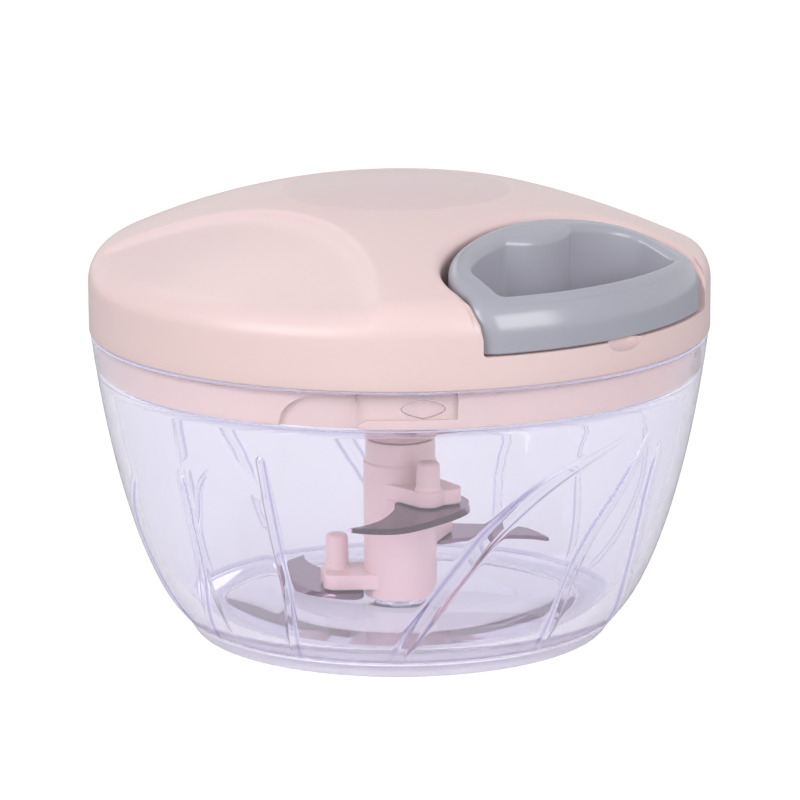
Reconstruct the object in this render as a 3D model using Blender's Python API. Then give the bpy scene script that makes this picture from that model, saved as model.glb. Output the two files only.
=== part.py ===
# A pull-cord garlic chopper: a clear bowl with a blade unit, and a domed lid that holds the cord spool.
# Metres, +Z up. The origin is under the middle of the foot, and the handle is pulled out along +X.

import math

import bmesh
import bpy
import numpy as np
from mathutils import Matrix, Vector

mm = 0.001

# Round pieces: how many sides
lid_sides = 56
bowl_sides = 48
middle_sides = 32
small_sides = 24
well_sides = 16
tiny_sides = 12
bore_sides = 8

# Clearances
seat_gap = 0.3 * mm  # pieces that rest on each other
running_gap = 0.4 * mm  # pieces that turn in or on each other

# Lid
lid_radius = 62.2 * mm
lid_wall = 2.0 * mm
lid_edge_z = 61.7 * mm
lid_top_z = 91.3 * mm
dome_radius = 140.0 * mm
lid_edge_round = 8.0 * mm
dome_rings = 9
hollow_dome_rings = 6
crown_disc_radius = 22.3 * mm
crown_disc_depth = 0.3 * mm
crown_disc_edge = 0.7 * mm
scoop_radius = 55.0 * mm
scoop_reach = 29.0 * mm  # from the lid's axis to the nearest point of the scoop's crest
scoop_depth = 3.0 * mm
scoop_slope = 12.0 * mm  # how far inside the crest the scoop is at its deepest
scoop_fade_low_z = 66.0 * mm
scoop_fade_high_z = 76.0 * mm

# Handle, seen from above
handle_bottom_z = 68.3 * mm
handle_sink = 0.15 * mm  # how far its top lies under the lid's own surface
handle_front_inset = 0.4 * mm
handle_depth = 30.3 * mm  # from the lid's skirt in to its rear
handle_rear_bow = 68.0 * mm
handle_rear_half = 19.0 * mm
handle_side_depth = 16.7 * mm  # from the skirt in to where its sides begin to turn
handle_side_y = 30.3 * mm
handle_corner_y = 30.9 * mm
handle_corner_round = 2.5 * mm
handle_edge_round = 1.4 * mm
grip_front_wall = 4.5 * mm
grip_rear_wall = 5.7 * mm
grip_rear_bow = 90.0 * mm
grip_rear_half = 13.5 * mm
grip_side_depth = 17.7 * mm
grip_side_wall = 6.4 * mm
grip_corner_round = 0.9 * mm
anchor_boss_half = 9.3 * mm
anchor_boss_depth = 3.5 * mm
anchor_well_radius = 2.6 * mm
anchor_well_top_z = 77.5 * mm

# Recess in the lid that holds the handle
recess_side_gap = 0.6 * mm
recess_rear_gap = 1.0 * mm
recess_wall = 1.8 * mm
recess_flare = 1.8 * mm
recess_run_out = 3.6 * mm  # how far its cut goes on past the handle's front
flare_fade = 4.0 * mm  # the flare ends over this distance before the skirt
finger_notch_half = 5.2 * mm
finger_notch_drop = 2.2 * mm
finger_notch_depth = 3.0 * mm

# Cord
cord_radius = 0.75 * mm
cord_z = 73.5 * mm  # where it leaves the lid
cord_turns = 4.0
cord_turn_pitch = 1.95 * mm
cord_turn_steps = 16
cord_sides = 6
cord_hole_gap = 0.45 * mm
knot_radius = 2.1 * mm
eyelet_radius = 2.6 * mm
eyelet_flange_radius = 3.9 * mm
eyelet_flange = 1.2 * mm

# Lid base: the collar that goes into the bowl and the plate that carries the mechanism
collar_inset = 2.9 * mm  # from the lid's skirt
collar_wall = 2.3 * mm
collar_bottom_z = 53.9 * mm
plate_bottom_z = 55.4 * mm
plate_thickness = 2.0 * mm
base_lip_height = 1.8 * mm
bearing_wall = 2.4 * mm
bearing_drop = 3.4 * mm

# Bayonet
lug_count = 4
lug_angle = -40.8  # degrees, the first lug
lug_length = 8.5 * mm
lug_height = 3.9 * mm
lug_z = 58.2 * mm
lug_reach = 1.2 * mm
lug_root = 0.8 * mm  # how deep it is set in the wall
lug_sides = 12
channel_start = -23.5  # degrees from the lug
channel_end = 6.4
channel_entry_end = -12.2
channel_depth = 1.2 * mm
channel_lap = 1.0  # degrees that the entry and the track share
channel_steps = 6
channel_arch = 6.0  # degrees of its rounded end
channel_arch_drop = 2.4 * mm
channel_top_gap = 0.5 * mm

# Bowl
rim_inset = 0.3 * mm  # from the lid's skirt
bowl_foot_radius = 43.9 * mm
bowl_foot_z = 3.7 * mm
bowl_low_swell = 7.3 * mm  # the Bezier handles of the wall's outer curve lie this far out from the foot
bowl_low_swell_z = 10.0 * mm
bowl_high_draw = 3.4 * mm  # and this far in from the rim
bowl_high_draw_z = 33.0 * mm
bowl_wall = 2.4 * mm
bowl_floor_top_z = 4.6 * mm
bowl_floor_inset = 6.4 * mm  # from the foot's outside in to where the floor is flat
bowl_corner_run = 4.2 * mm
bowl_corner_rise = 1.8 * mm
bowl_corner_top_z = 13.0 * mm
bowl_spigot_inset = 7.3 * mm
bowl_spigot_z = 1.4 * mm
pin_boss_radius = 4.6 * mm
pin_boss_top_z = 6.0 * mm
pin_boss_taper = 0.6 * mm
pin_radius = 2.2 * mm
pin_root_z = 3.2 * mm
pin_top_z = 15.0 * mm

# The wall's ribs on one half of the bowl, as (degrees, height) from the foot up. The other half repeats them.
rib_routes = (
    ((-110.0, 5.0 * mm), (-115.0, 15.0 * mm), (-117.0, 27.0 * mm), (-109.0, 38.0 * mm)),
    ((-99.0, 4.2 * mm), (-91.5, 20.6 * mm), (-90.6, 33.0 * mm), (-91.5, 42.0 * mm)),
    ((-88.6, 31.0 * mm), (-87.7, 35.0 * mm), (-86.0, 40.0 * mm), (-83.0, 44.0 * mm)),
    ((-71.8, 4.2 * mm), (-69.5, 17.4 * mm), (-70.2, 30.2 * mm), (-71.5, 47.5 * mm)),
    ((-46.0, 5.0 * mm), (-33.1, 23.9 * mm), (-25.3, 33.8 * mm), (-13.5, 42.7 * mm), (7.0, 50.0 * mm)),
    ((-8.5, 5.0 * mm), (-7.0, 19.6 * mm), (-3.5, 29.0 * mm), (3.0, 38.0 * mm), (10.0, 49.0 * mm)),
    ((21.6, 4.2 * mm), (15.0, 16.8 * mm), (12.6, 33.0 * mm), (14.0, 45.0 * mm)),
)
rib_half_width = 1.0 * mm
rib_rise = 0.55 * mm
rib_end = 3.5 * mm  # each rib rises out of the wall over this height
rib_lean_most = 2.6  # a leaning rib is cut this much wider by a level row at most
rib_room = 0.3  # share of the way to the next rib that one side of a rib may fill
rib_section = ((-1.2, 0.0), (-0.75, 1.0), (0.75, 1.0), (1.2, 0.0))  # across it, in half widths and rises
rib_route_steps = 6
rib_top_z = 50.5 * mm  # above this the wall is round
wall_rows = 15
wall_column = 8.0  # degrees between the wall's own columns

# Foot ring
foot_inset = 2.5 * mm  # its bottom edge, in from the bowl's foot
foot_round = 1.3 * mm
foot_top_round = 0.6 * mm

# Blade unit
column_radius = 7.45 * mm
column_bottom_z = 6.4 * mm
column_neck_z = 34.0 * mm
column_top_z = 38.6 * mm
column_neck_inset = 0.4 * mm
column_edge = 0.5 * mm
spigot_radius = 5.0 * mm
spigot_length = 10.4 * mm
arm_angles = (-19.5, 100.5, 220.5)  # upper, middle, lower
arm_top_z = (30.8 * mm, 19.6 * mm, 11.6 * mm)
arm_thickness = 3.1 * mm
arm_root = (7.0 * mm, 59.0)  # radius inside the column, and degrees to each side of the arm
arm_nose_radius = 3.35 * mm
arm_lobe = (13.2 * mm, 19.0)  # where the rounded lobe beside the peg has its middle: radius, degrees
arm_lobe_radius = 2.9 * mm
peg_reach = 13.0 * mm
peg_radius = 2.45 * mm
peg_top_z = (36.5 * mm, 25.6 * mm, 18.6 * mm)
peg_taper = 0.2 * mm
peg_round = 0.7 * mm
blade_thickness = 0.8 * mm
blade_tip = (31.0 * mm, -45.0)  # radius, and degrees from the blade's arm
blade_root = (15.4 * mm, 38.0)
# The blade's hollow back from tip to root, and its cutting edge from root to tip
blade_back = (
    (28.8 * mm, -41.2), (23.2 * mm, -35.2), (19.0 * mm, -32.6), (13.9 * mm, -30.3), (9.0 * mm, -31.0),
    (8.2 * mm, -8.0), (8.2 * mm, 22.0), (9.6 * mm, 44.0), (12.5 * mm, 50.0),
)
blade_edge = (
    (18.0 * mm, 25.0), (20.6 * mm, 14.0), (24.2 * mm, -4.0), (28.2 * mm, -17.4), (31.0 * mm, -26.0),
    (31.6 * mm, -36.0),
)

# Drive hub, with the ratchet cup
hub_radius = 7.0 * mm
cup_radius = 17.6 * mm
cup_tooth_root = 15.6 * mm
cup_tooth_tip = 14.0 * mm
cup_teeth = 12
cup_disc = 1.8 * mm
cup_tooth_steps = ((0.0, 0.0), (0.45, 0.5), (0.98, 1.0))  # along a tooth and out from its tip
cup_wall_root = 0.8 * mm
axle_radius = 2.0 * mm
axle_bevel = 0.4 * mm
axle_boss_wall = 2.4 * mm
axle_depth_in_hub = 4.3 * mm
axle_depth_in_lid = 3.2 * mm

# Cord spool
spool_flange_radius = 17.5 * mm
spool_flange = 1.4 * mm
spool_drum_radius = 12.0 * mm
spool_drum_height = 10.3 * mm
spool_sleeve_radius = 5.2 * mm
spool_arbor_radius = 4.6 * mm
pawl_pivot_radius = 11.7 * mm
pawl_pin_radius = 1.1 * mm
pawl_count = 3
pawl_height = 3.4 * mm
pawl_width = 3.0 * mm
pawl_nose_gap = 0.9 * mm  # to the bottom of the cup's teeth
pawl_lag = 7.5  # degrees from the nose to the end of the tooth, so that it swings in clear of its face

# Return spring and its case
spring_height = 4.6 * mm
spring_strip = 0.5 * mm
spring_turns = 5.5
spring_inner_radius = 5.2 * mm
spring_turn_steps = 16
case_inner_radius = 18.4 * mm
case_wall = 1.6 * mm
cover_thickness = 1.2 * mm
cover_screw_reach = 23.4 * mm
cover_screw_angles = (60.0, 180.0, 300.0)

# Screws
lid_screw_reach = 46.0 * mm
lid_screw_angles = (60.0, 120.0, 240.0, 300.0)
screw_head_radius = 2.6 * mm
screw_head = 1.5 * mm
screw_shank_radius = 1.2 * mm
lid_screw_length = 11.0 * mm
cover_screw_length = 6.0 * mm
screw_boss_wall = 2.1 * mm
cover_boss_wall = 1.7 * mm
cover_ear_wall = 2.1 * mm
cover_ear_lap = 2.0 * mm  # how far its root reaches into the cover
cover_ear_turn = 72.0  # degrees to each side of its round end
screw_tip_gap = 0.8 * mm

# Colours
lid_pink = (0.86, 0.70, 0.68, 1.0)
handle_grey = (0.47, 0.49, 0.54, 1.0)
clear_plastic = (0.86, 0.86, 0.94, 0.35)
foot_plastic = (0.85, 0.82, 0.80, 0.6)
blade_steel = (0.55, 0.52, 0.57, 1.0)
pin_steel = (0.62, 0.62, 0.64, 1.0)
cord_white = (0.86, 0.86, 0.84, 1.0)
acetal_white = (0.88, 0.88, 0.86, 1.0)

# Heights and radii that follow from the ones above
collar_radius = lid_radius - collar_inset
socket_radius = collar_radius + seat_gap
bowl_rim_radius = lid_radius - rim_inset
bowl_floor_radius = bowl_foot_radius - bowl_floor_inset
bowl_spigot_radius = bowl_foot_radius - bowl_spigot_inset
foot_radius = bowl_foot_radius - foot_inset
handle_rear_x = lid_radius - handle_depth
handle_side_x = lid_radius - handle_side_depth
grip_side_x = lid_radius - grip_side_depth
rim_z = lid_edge_z - seat_gap
plate_top_z = plate_bottom_z + plate_thickness
cup_bottom_z = plate_top_z + running_gap
cup_floor_z = cup_bottom_z + cup_disc
pawl_bottom_z = cup_floor_z + running_gap
pawl_top_z = pawl_bottom_z + pawl_height
lower_flange_z = pawl_top_z + running_gap
cup_top_z = lower_flange_z - running_gap
drum_bottom_z = lower_flange_z + spool_flange
drum_top_z = drum_bottom_z + spool_drum_height
upper_flange_top_z = drum_top_z + spool_flange
cover_bottom_z = upper_flange_top_z + running_gap
cover_top_z = cover_bottom_z + cover_thickness
spring_bottom_z = cover_top_z + running_gap
spring_top_z = spring_bottom_z + spring_height
arbor_top_z = spring_top_z + running_gap
axle_top_z = arbor_top_z + running_gap + axle_depth_in_lid
axle_bottom_z = cup_floor_z - axle_depth_in_hub
hub_bottom_z = column_top_z + seat_gap
spigot_top_z = column_top_z + spigot_length
winding_radius = spool_drum_radius + seat_gap + cord_radius
recess_floor_z = handle_bottom_z - seat_gap
recess_rear_x = handle_rear_x - recess_rear_gap
handle_front_radius = lid_radius - handle_front_inset
dome_centre_z = lid_top_z - dome_radius
edge_centre_r = lid_radius - lid_edge_round
edge_centre_z = dome_centre_z + math.sqrt((dome_radius - lid_edge_round) ** 2 - edge_centre_r**2)
axle_bore = axle_radius + running_gap
spring_outer_radius = case_inner_radius - seat_gap - spring_strip
cutter_top_z = lid_top_z + lid_wall


def clear_scene():
    for item in list(bpy.data.objects):
        bpy.data.objects.remove(item, do_unlink=True)


def make_material(name, colour, roughness, metallic=0.0):
    material = bpy.data.materials.new(name)
    material.use_nodes = True
    shader = material.node_tree.nodes["Principled BSDF"]
    shader.inputs["Base Color"].default_value = colour
    shader.inputs["Alpha"].default_value = colour[3]
    shader.inputs["Roughness"].default_value = roughness
    shader.inputs["Metallic"].default_value = metallic
    material.diffuse_color = colour
    return material


def empty(name, location=(0.0, 0.0, 0.0), parent=None):
    item = bpy.data.objects.new(name, None)
    item.location = location
    item.parent = parent
    item.empty_display_size = 0.01
    bpy.context.scene.collection.objects.link(item)
    return item


def mesh_object(name, bm, material=None, parent=None, location=(0.0, 0.0, 0.0)):
    bmesh.ops.recalc_face_normals(bm, faces=bm.faces)
    mesh = bpy.data.meshes.new(name)
    bm.to_mesh(mesh)
    bm.free()
    mesh.shade_smooth()
    mesh.set_sharp_from_angle(angle=math.radians(35.0))
    item = bpy.data.objects.new(name, mesh)
    item.location = location
    item.parent = parent
    if material:
        mesh.materials.append(material)
    bpy.context.scene.collection.objects.link(item)
    return item


def copy_object(name, source, parent, location, turn):
    item = bpy.data.objects.new(name, source.data)
    item.location = location
    item.rotation_euler = (0.0, 0.0, turn)
    item.parent = parent
    bpy.context.scene.collection.objects.link(item)
    return item


def tool(name, bm, location=(0.0, 0.0, 0.0)):
    # A guide for a Boolean: it isn't a piece of the chopper.
    item = mesh_object(name, bm, location=location)
    item.hide_render = True
    item.display_type = "WIRE"
    return item


def boolean(target, other, operation):
    step = target.modifiers.new(other.name, "BOOLEAN")
    step.object = other
    step.operation = operation
    step.solver = "EXACT"


def cut(target, *others):
    for other in others:
        boolean(target, other, "DIFFERENCE")


def join(target, *others):
    for other in others:
        boolean(target, other, "UNION")


def polar(radius, degrees, z=0.0):
    angle = math.radians(degrees)
    return Vector((radius * math.cos(angle), radius * math.sin(angle), z))


def skin(rings, closed=False):
    # Joins rings of points with quads. A ring of one point is a pole; open ends get a cap.
    bm = bmesh.new()
    made = [[bm.verts.new(point) for point in ring] for ring in rings]
    pairs = list(zip(made, made[1:]))
    if closed:
        pairs.append((made[-1], made[0]))
    for low, high in pairs:
        for i in range(max(len(low), len(high))):
            a, b = low[i % len(low)], low[(i + 1) % len(low)]
            c, d = high[(i + 1) % len(high)], high[i % len(high)]
            corners = list(dict.fromkeys((a, b, c, d)))
            bm.faces.new(corners)
    if not closed:
        for end in (made[0], made[-1]):
            if len(end) > 2:
                bm.faces.new(end)
    return bm


def circle(radius, z, sides, turn=0.0):
    if radius == 0.0:
        return [Vector((0.0, 0.0, z))]
    return [polar(radius, turn + 360.0 * i / sides, z) for i in range(sides)]


def turned(profile, sides, closed=False):
    # A solid of revolution about Z from (radius, z) points.
    return skin([circle(radius, z, sides) for radius, z in profile], closed)


def prism(outline, low, high):
    return skin([[Vector((x, y, low)) for x, y in outline], [Vector((x, y, high)) for x, y in outline]])


def rod(radius, low, high, sides=tiny_sides):
    return turned([(radius, low), (radius, high)], sides)


def tube(path, radius, sides):
    # A round tube along a path, with its rings square to the way the path runs.
    rings = []
    up = Vector((0.0, 0.0, 1.0))
    for i, point in enumerate(path):
        ahead = path[min(i + 1, len(path) - 1)] - path[max(i - 1, 0)]
        across = ahead.cross(up)
        if across.length < 1e-9:
            across = Vector((0.0, 1.0, 0.0))
        across.normalize()
        rise = across.cross(ahead).normalized()
        ring = []
        for k in range(sides):
            angle = 2.0 * math.pi * (k + 0.5) / sides
            ring.append(point + radius * (math.cos(angle) * across + math.sin(angle) * rise))
        rings.append(ring)
    return skin(rings)


def bezier(start, control, end, steps):
    # Points along a quadratic Bezier, without its two ends.
    points = []
    for i in range(1, steps):
        t = i / steps
        points.append(start * (1 - t) ** 2 + control * 2 * t * (1 - t) + end * t * t)
    return points


def offset_outline(outline, distance):
    # Moves each point of a counter-clockwise outline outwards.
    moved = []
    for i, point in enumerate(outline):
        ahead = (outline[(i + 1) % len(outline)] - point).normalized()
        behind = (point - outline[i - 1]).normalized()
        along = (ahead + behind).normalized()
        moved.append(point + distance * Vector((along.y, -along.x)) / max(along.dot(ahead), 0.5))
    return moved


def lid_height(radius, inset=0.0):
    # Height of the lid's outer surface, or of the surface that lies inset inside it.
    ball = dome_radius - inset
    edge = lid_edge_round - inset
    meet = edge_centre_r * ball / (dome_radius - lid_edge_round)
    if radius <= meet:
        return dome_centre_z + math.sqrt(ball**2 - radius**2)
    return edge_centre_z + math.sqrt(max(edge**2 - (radius - edge_centre_r) ** 2, 0.0))


def scoop_at(x, y, z):
    # How far a finger scoop presses the lid down at a point.
    centre = scoop_reach + scoop_radius
    inside = scoop_radius - math.hypot(x, abs(y) - centre)
    if inside <= 0.0:
        return 0.0
    fade = min(max((z - scoop_fade_low_z) / (scoop_fade_high_z - scoop_fade_low_z), 0.0), 1.0)
    return scoop_depth * math.sin(0.5 * math.pi * min(inside / scoop_slope, 1.0)) * fade


def dome_end(inset):
    # The radius where the dome meets the rounded edge.
    return edge_centre_r * (dome_radius - inset) / (dome_radius - lid_edge_round)


def lid_profile(inset, floor_z, rings):
    # (radius, z) down the lid's surface, from the crown to floor_z.
    meet = dome_end(inset)
    profile = [(radius, lid_height(radius, inset)) for radius in rings if radius < meet]
    start = math.acos((meet - edge_centre_r) / (lid_edge_round - inset))
    for i in range(6):
        angle = start * (1 - i / 5)
        radius = edge_centre_r + (lid_edge_round - inset) * math.cos(angle)
        profile.append((radius, edge_centre_z + (lid_edge_round - inset) * math.sin(angle)))
    profile.append((lid_radius - inset, floor_z))
    return profile


def lid_solid(inset, floor_z, rings, sides):
    shape = []
    for radius, z in lid_profile(inset, floor_z, rings):
        ring = circle(radius, z, sides)
        for point in ring:
            point.z -= scoop_at(point.x, point.y, z)
        shape.append(ring)
    return skin(shape)


def handle_outline(rear_x, bow, rear_half, side_x, side_y, corner_y, corner_round, front_radius, bump):
    # One side of the handle seen from above, mirrored to the other, counter-clockwise from the front.
    def rear(y):
        x = rear_x + bow - math.sqrt(bow**2 - y**2)
        swell = max(1.0 - (y / anchor_boss_half) ** 2, 0.0)
        return Vector((x + bump * swell, y))

    corner_x = math.sqrt(front_radius**2 - corner_y**2)
    front_end = math.degrees(math.asin((corner_y - corner_round) / front_radius))
    front = [polar(front_radius, front_end * (i / 5 - 1)).to_2d() for i in range(1, 11)]
    corner = Vector((corner_x, corner_y))
    side_end = Vector((corner_x - corner_round, corner_y))
    front_stop = polar(front_radius, front_end).to_2d()
    side_start = Vector((side_x, side_y))
    arc_end = rear(rear_half)
    slope = rear_half / math.sqrt(bow**2 - rear_half**2)
    control = Vector((arc_end.x + slope * (side_y - arc_end.y), side_y))
    half = [front_stop]
    half += bezier(front_stop, corner, side_end, 3)
    half.append(side_end)
    half.append(side_start)
    half += bezier(side_start, control, arc_end, 5)
    rear_points = [rear(rear_half * (1 - i / 6)) for i in range(13)]
    mirrored = [Vector((point.x, -point.y)) for point in reversed(half)]
    return front[:-1] + half + rear_points + mirrored


def outer_handle_outline():
    return handle_outline(
        handle_rear_x, handle_rear_bow, handle_rear_half, handle_side_x, handle_side_y,
        handle_corner_y, handle_corner_round, handle_front_radius, 0.0,
    )


def inner_handle_outline():
    return handle_outline(
        handle_rear_x + grip_rear_wall, grip_rear_bow, grip_rear_half, grip_side_x,
        handle_side_y - grip_side_wall, handle_corner_y - grip_side_wall, grip_corner_round,
        handle_front_radius - grip_front_wall, anchor_boss_depth,
    )


def recess_outline(extra=0.0):
    # The handle's outline with its gaps. The front runs out past the lid's skirt.
    outline = []
    for point in offset_outline(outer_handle_outline(), recess_side_gap + extra):
        rear_share = min(max((handle_side_x - point.x) / (handle_side_x - handle_rear_x), 0.0), 1.0)
        point.x -= (recess_rear_gap - recess_side_gap) * rear_share
        if point.x > handle_side_x:
            point.x += recess_run_out
        outline.append(point)
    return outline


def recess_cutter():
    # Rings that follow the lid's surface, so that the recess's edge is rounded. This fades towards the skirt.
    plain = recess_outline()
    wide = recess_outline(recess_flare)
    rings = [[Vector((point.x, point.y, recess_floor_z)) for point in plain]]
    for degrees in (0.0, 30.0, 60.0, 85.0):
        out = 1.0 - math.cos(math.radians(degrees))
        depth = recess_flare * (1.0 - math.sin(math.radians(degrees)))
        ring = []
        for a, b in zip(plain, wide):
            room = min(max((edge_centre_r + flare_fade - a.length) / flare_fade, 0.0), 1.0)
            point = a.lerp(b, out * room)
            reach = min(point.length, edge_centre_r + flare_fade)
            z = lid_height(reach) - scoop_at(point.x, point.y, lid_height(reach)) - depth
            ring.append(Vector((point.x, point.y, z)))
        rings.append(ring)
    rings.append([Vector((point.x, point.y, cutter_top_z)) for point in ring])
    return skin(rings)


def screw_mesh(length):
    return turned(
        [(0.0, -screw_head), (screw_head_radius * 0.8, -screw_head), (screw_head_radius, -screw_head * 0.6),
         (screw_head_radius, 0.0), (screw_shank_radius, 0.0), (screw_shank_radius, length - mm),
         (0.0, length)],
        tiny_sides,
    )


def make_lid_shell(material, parent):
    disc_end = crown_disc_radius + crown_disc_edge
    rings = [0.0, 0.5 * crown_disc_radius, crown_disc_radius, disc_end]
    rings += list(np.linspace(disc_end, dome_end(0.0), dome_rings + 1)[1:-1])
    bm = lid_solid(0.0, lid_edge_z, rings, lid_sides)
    for vert in bm.verts:
        if vert.co.to_2d().length < crown_disc_radius + 0.5 * crown_disc_edge and vert.co.z > edge_centre_z:
            vert.co.z -= crown_disc_depth
    shell = mesh_object("lid_shell", bm, material, parent)

    hollow_rings = np.linspace(0.0, dome_end(lid_wall), hollow_dome_rings + 1)[:-1]
    hollow = tool("lid_hollow", lid_solid(lid_wall, lid_edge_z - lid_wall, hollow_rings, bowl_sides))
    block_outline = offset_outline(recess_outline(), recess_wall)
    block = prism(block_outline, recess_floor_z - recess_wall, cutter_top_z)
    cut(hollow, tool("recess_block", block))
    case = turned(
        [(case_inner_radius, cover_top_z + seat_gap), (case_inner_radius + case_wall, cover_top_z + seat_gap),
         (case_inner_radius + case_wall, cutter_top_z), (case_inner_radius, cutter_top_z)],
        middle_sides, closed=True,
    )
    cut(hollow, tool("spring_case_ring", case))
    axle_boss_z = arbor_top_z + running_gap
    axle_boss = rod(axle_radius + axle_boss_wall, axle_boss_z, cutter_top_z, small_sides)
    cut(hollow, tool("axle_boss", axle_boss))
    boss_radius = screw_shank_radius + screw_boss_wall
    for i, angle in enumerate(cover_screw_angles):
        spot = polar(cover_screw_reach, angle)
        boss = rod(screw_shank_radius + cover_boss_wall, cover_top_z + seat_gap, cutter_top_z)
        cut(hollow, tool("cover_boss_%d" % (i + 1), boss, spot))
    for i, angle in enumerate(lid_screw_angles):
        spot = polar(lid_screw_reach, angle)
        boss = rod(boss_radius, plate_top_z + seat_gap, cutter_top_z)
        cut(hollow, tool("lid_boss_%d" % (i + 1), boss, spot))
    cut(shell, hollow)

    cut(shell, tool("recess_cut", recess_cutter()))
    cut(shell, tool("axle_socket", rod(axle_radius + seat_gap, axle_boss_z - mm, axle_top_z + seat_gap)))
    hole = screw_shank_radius + seat_gap
    for i, angle in enumerate(cover_screw_angles):
        bore_top_z = cover_bottom_z + cover_screw_length + screw_tip_gap
        bore = rod(hole, cover_top_z - mm, bore_top_z, bore_sides)
        cut(shell, tool("cover_bore_%d" % (i + 1), bore, polar(cover_screw_reach, angle)))
    for i, angle in enumerate(lid_screw_angles):
        bore_top_z = plate_bottom_z + lid_screw_length + screw_tip_gap
        bore = rod(hole, plate_top_z - mm, bore_top_z, bore_sides)
        cut(shell, tool("lid_bore_%d" % (i + 1), bore, polar(lid_screw_reach, angle)))
    notch = turned(
        [(math.cos(angle), math.sin(angle)) for angle in np.linspace(-0.5 * math.pi, 0.5 * math.pi, 7)][1:-1],
        small_sides,
    )
    bmesh.ops.scale(notch, vec=(finger_notch_depth, finger_notch_half, finger_notch_drop), verts=notch.verts)
    cut(shell, tool("finger_notch", notch, (lid_radius, 0.0, recess_floor_z)))
    eye = rod(eyelet_radius + seat_gap, -recess_wall * 2, recess_wall * 2)
    bmesh.ops.rotate(eye, matrix=Matrix.Rotation(math.pi / 2, 3, "Y"), verts=eye.verts)
    cut(shell, tool("eyelet_hole", eye, (recess_rear_x, 0.0, cord_z)))
    return shell


def sector(inner, outer, start, end, low, top_at, steps):
    # A block between two radii and two angles, whose top height is a function of the angle.
    rings = []
    for i in range(steps + 1):
        angle = start + (end - start) * i / steps
        high = top_at(angle)
        rings.append([
            polar(inner, angle, low), polar(outer, angle, low),
            polar(outer, angle, high), polar(inner, angle, high),
        ])
    return skin(rings)


def channel_roof(first, arch_from):
    # The channel's top, which comes down in an arch at its open end.
    def top(angle):
        into = (angle - first) / arch_from
        drop = 0.0
        if into < 1.0:
            drop = channel_arch_drop * (1.0 - math.sqrt(max(1.0 - (1.0 - into) ** 2, 0.0)))
        return lug_z + 0.5 * lug_height + channel_top_gap - drop

    return top


def make_lid_base(material, parent):
    flange_z = lid_edge_z + seat_gap
    flange_radius = lid_radius - lid_wall - seat_gap
    inner = collar_radius - collar_wall
    hole = hub_radius + running_gap
    bearing_radius = hole + bearing_wall
    profile = [
        (hole, plate_bottom_z - bearing_drop), (bearing_radius, plate_bottom_z - bearing_drop),
        (bearing_radius, plate_bottom_z), (inner, plate_bottom_z), (inner, collar_bottom_z),
        (collar_radius, collar_bottom_z), (collar_radius, flange_z), (flange_radius, flange_z),
        (flange_radius, flange_z + base_lip_height), (inner, flange_z + base_lip_height),
        (inner, plate_top_z), (hole, plate_top_z),
    ]
    base = mesh_object("lid_base", turned(profile, lid_sides, closed=True), material, parent)
    floor = collar_radius - channel_depth
    out = collar_radius + mm
    for i in range(lug_count):
        centre = lug_angle + 360.0 * i / lug_count
        first = centre + channel_start
        roof = channel_roof(first, channel_arch)
        ledge_top = lug_z - 0.5 * lug_height - seat_gap
        entry_end = centre + channel_entry_end
        track_start = entry_end - channel_lap
        entry = sector(floor, out, first, entry_end, collar_bottom_z - mm, roof, channel_steps)
        track = sector(floor, out, track_start, centre + channel_end, ledge_top, roof, channel_steps)
        cut(base, tool("bayonet_entry_%d" % (i + 1), entry), tool("bayonet_track_%d" % (i + 1), track))
    for i, angle in enumerate(lid_screw_angles):
        hole_tool = rod(screw_shank_radius + seat_gap, plate_bottom_z - mm, plate_top_z + mm, bore_sides)
        cut(base, tool("screw_hole_%d" % (i + 1), hole_tool, polar(lid_screw_reach, angle)))
    return base


def make_handle(material, parent):
    outer = outer_handle_outline()
    inner = inner_handle_outline()

    def lid_z(point):
        return lid_height(min(point.length, handle_front_radius)) - handle_sink

    def ring(share, depth):
        points = []
        for a, b in zip(outer, inner):
            point = a.lerp(b, share)
            z = handle_bottom_z if depth is None else lid_z(point) - depth
            points.append(Vector((point.x, point.y, z)))
        return points

    steps = ((0.0, None), (0.0, handle_edge_round), (0.08, 0.4 * handle_edge_round), (0.25, 0.0),
             (0.75, 0.0), (0.92, 0.3 * handle_edge_round), (1.0, handle_edge_round), (1.0, None))
    handle = mesh_object("pull_handle", skin([ring(*step) for step in steps], closed=True), material, parent)
    well = rod(anchor_well_radius, handle_bottom_z - mm, anchor_well_top_z, well_sides)
    cut(handle, tool("knot_well", well, (anchor_x(), 0.0, 0.0)))
    hole = rod(cord_radius + cord_hole_gap, 0.0, anchor_x() - handle_rear_x + mm)
    bmesh.ops.rotate(hole, matrix=Matrix.Rotation(math.pi / 2, 3, "Y"), verts=hole.verts)
    cut(handle, tool("cord_hole", hole, (handle_rear_x - mm, 0.0, cord_z)))
    return handle


def anchor_x():
    # The middle of the boss that holds the cord's knot.
    return handle_rear_x + 0.5 * (grip_rear_wall + anchor_boss_depth)


def winding_start():
    # Where the cord leaves the drum towards the eyelet: the angle of the tangent point, in radians.
    return -math.acos(winding_radius / recess_rear_x)


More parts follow.
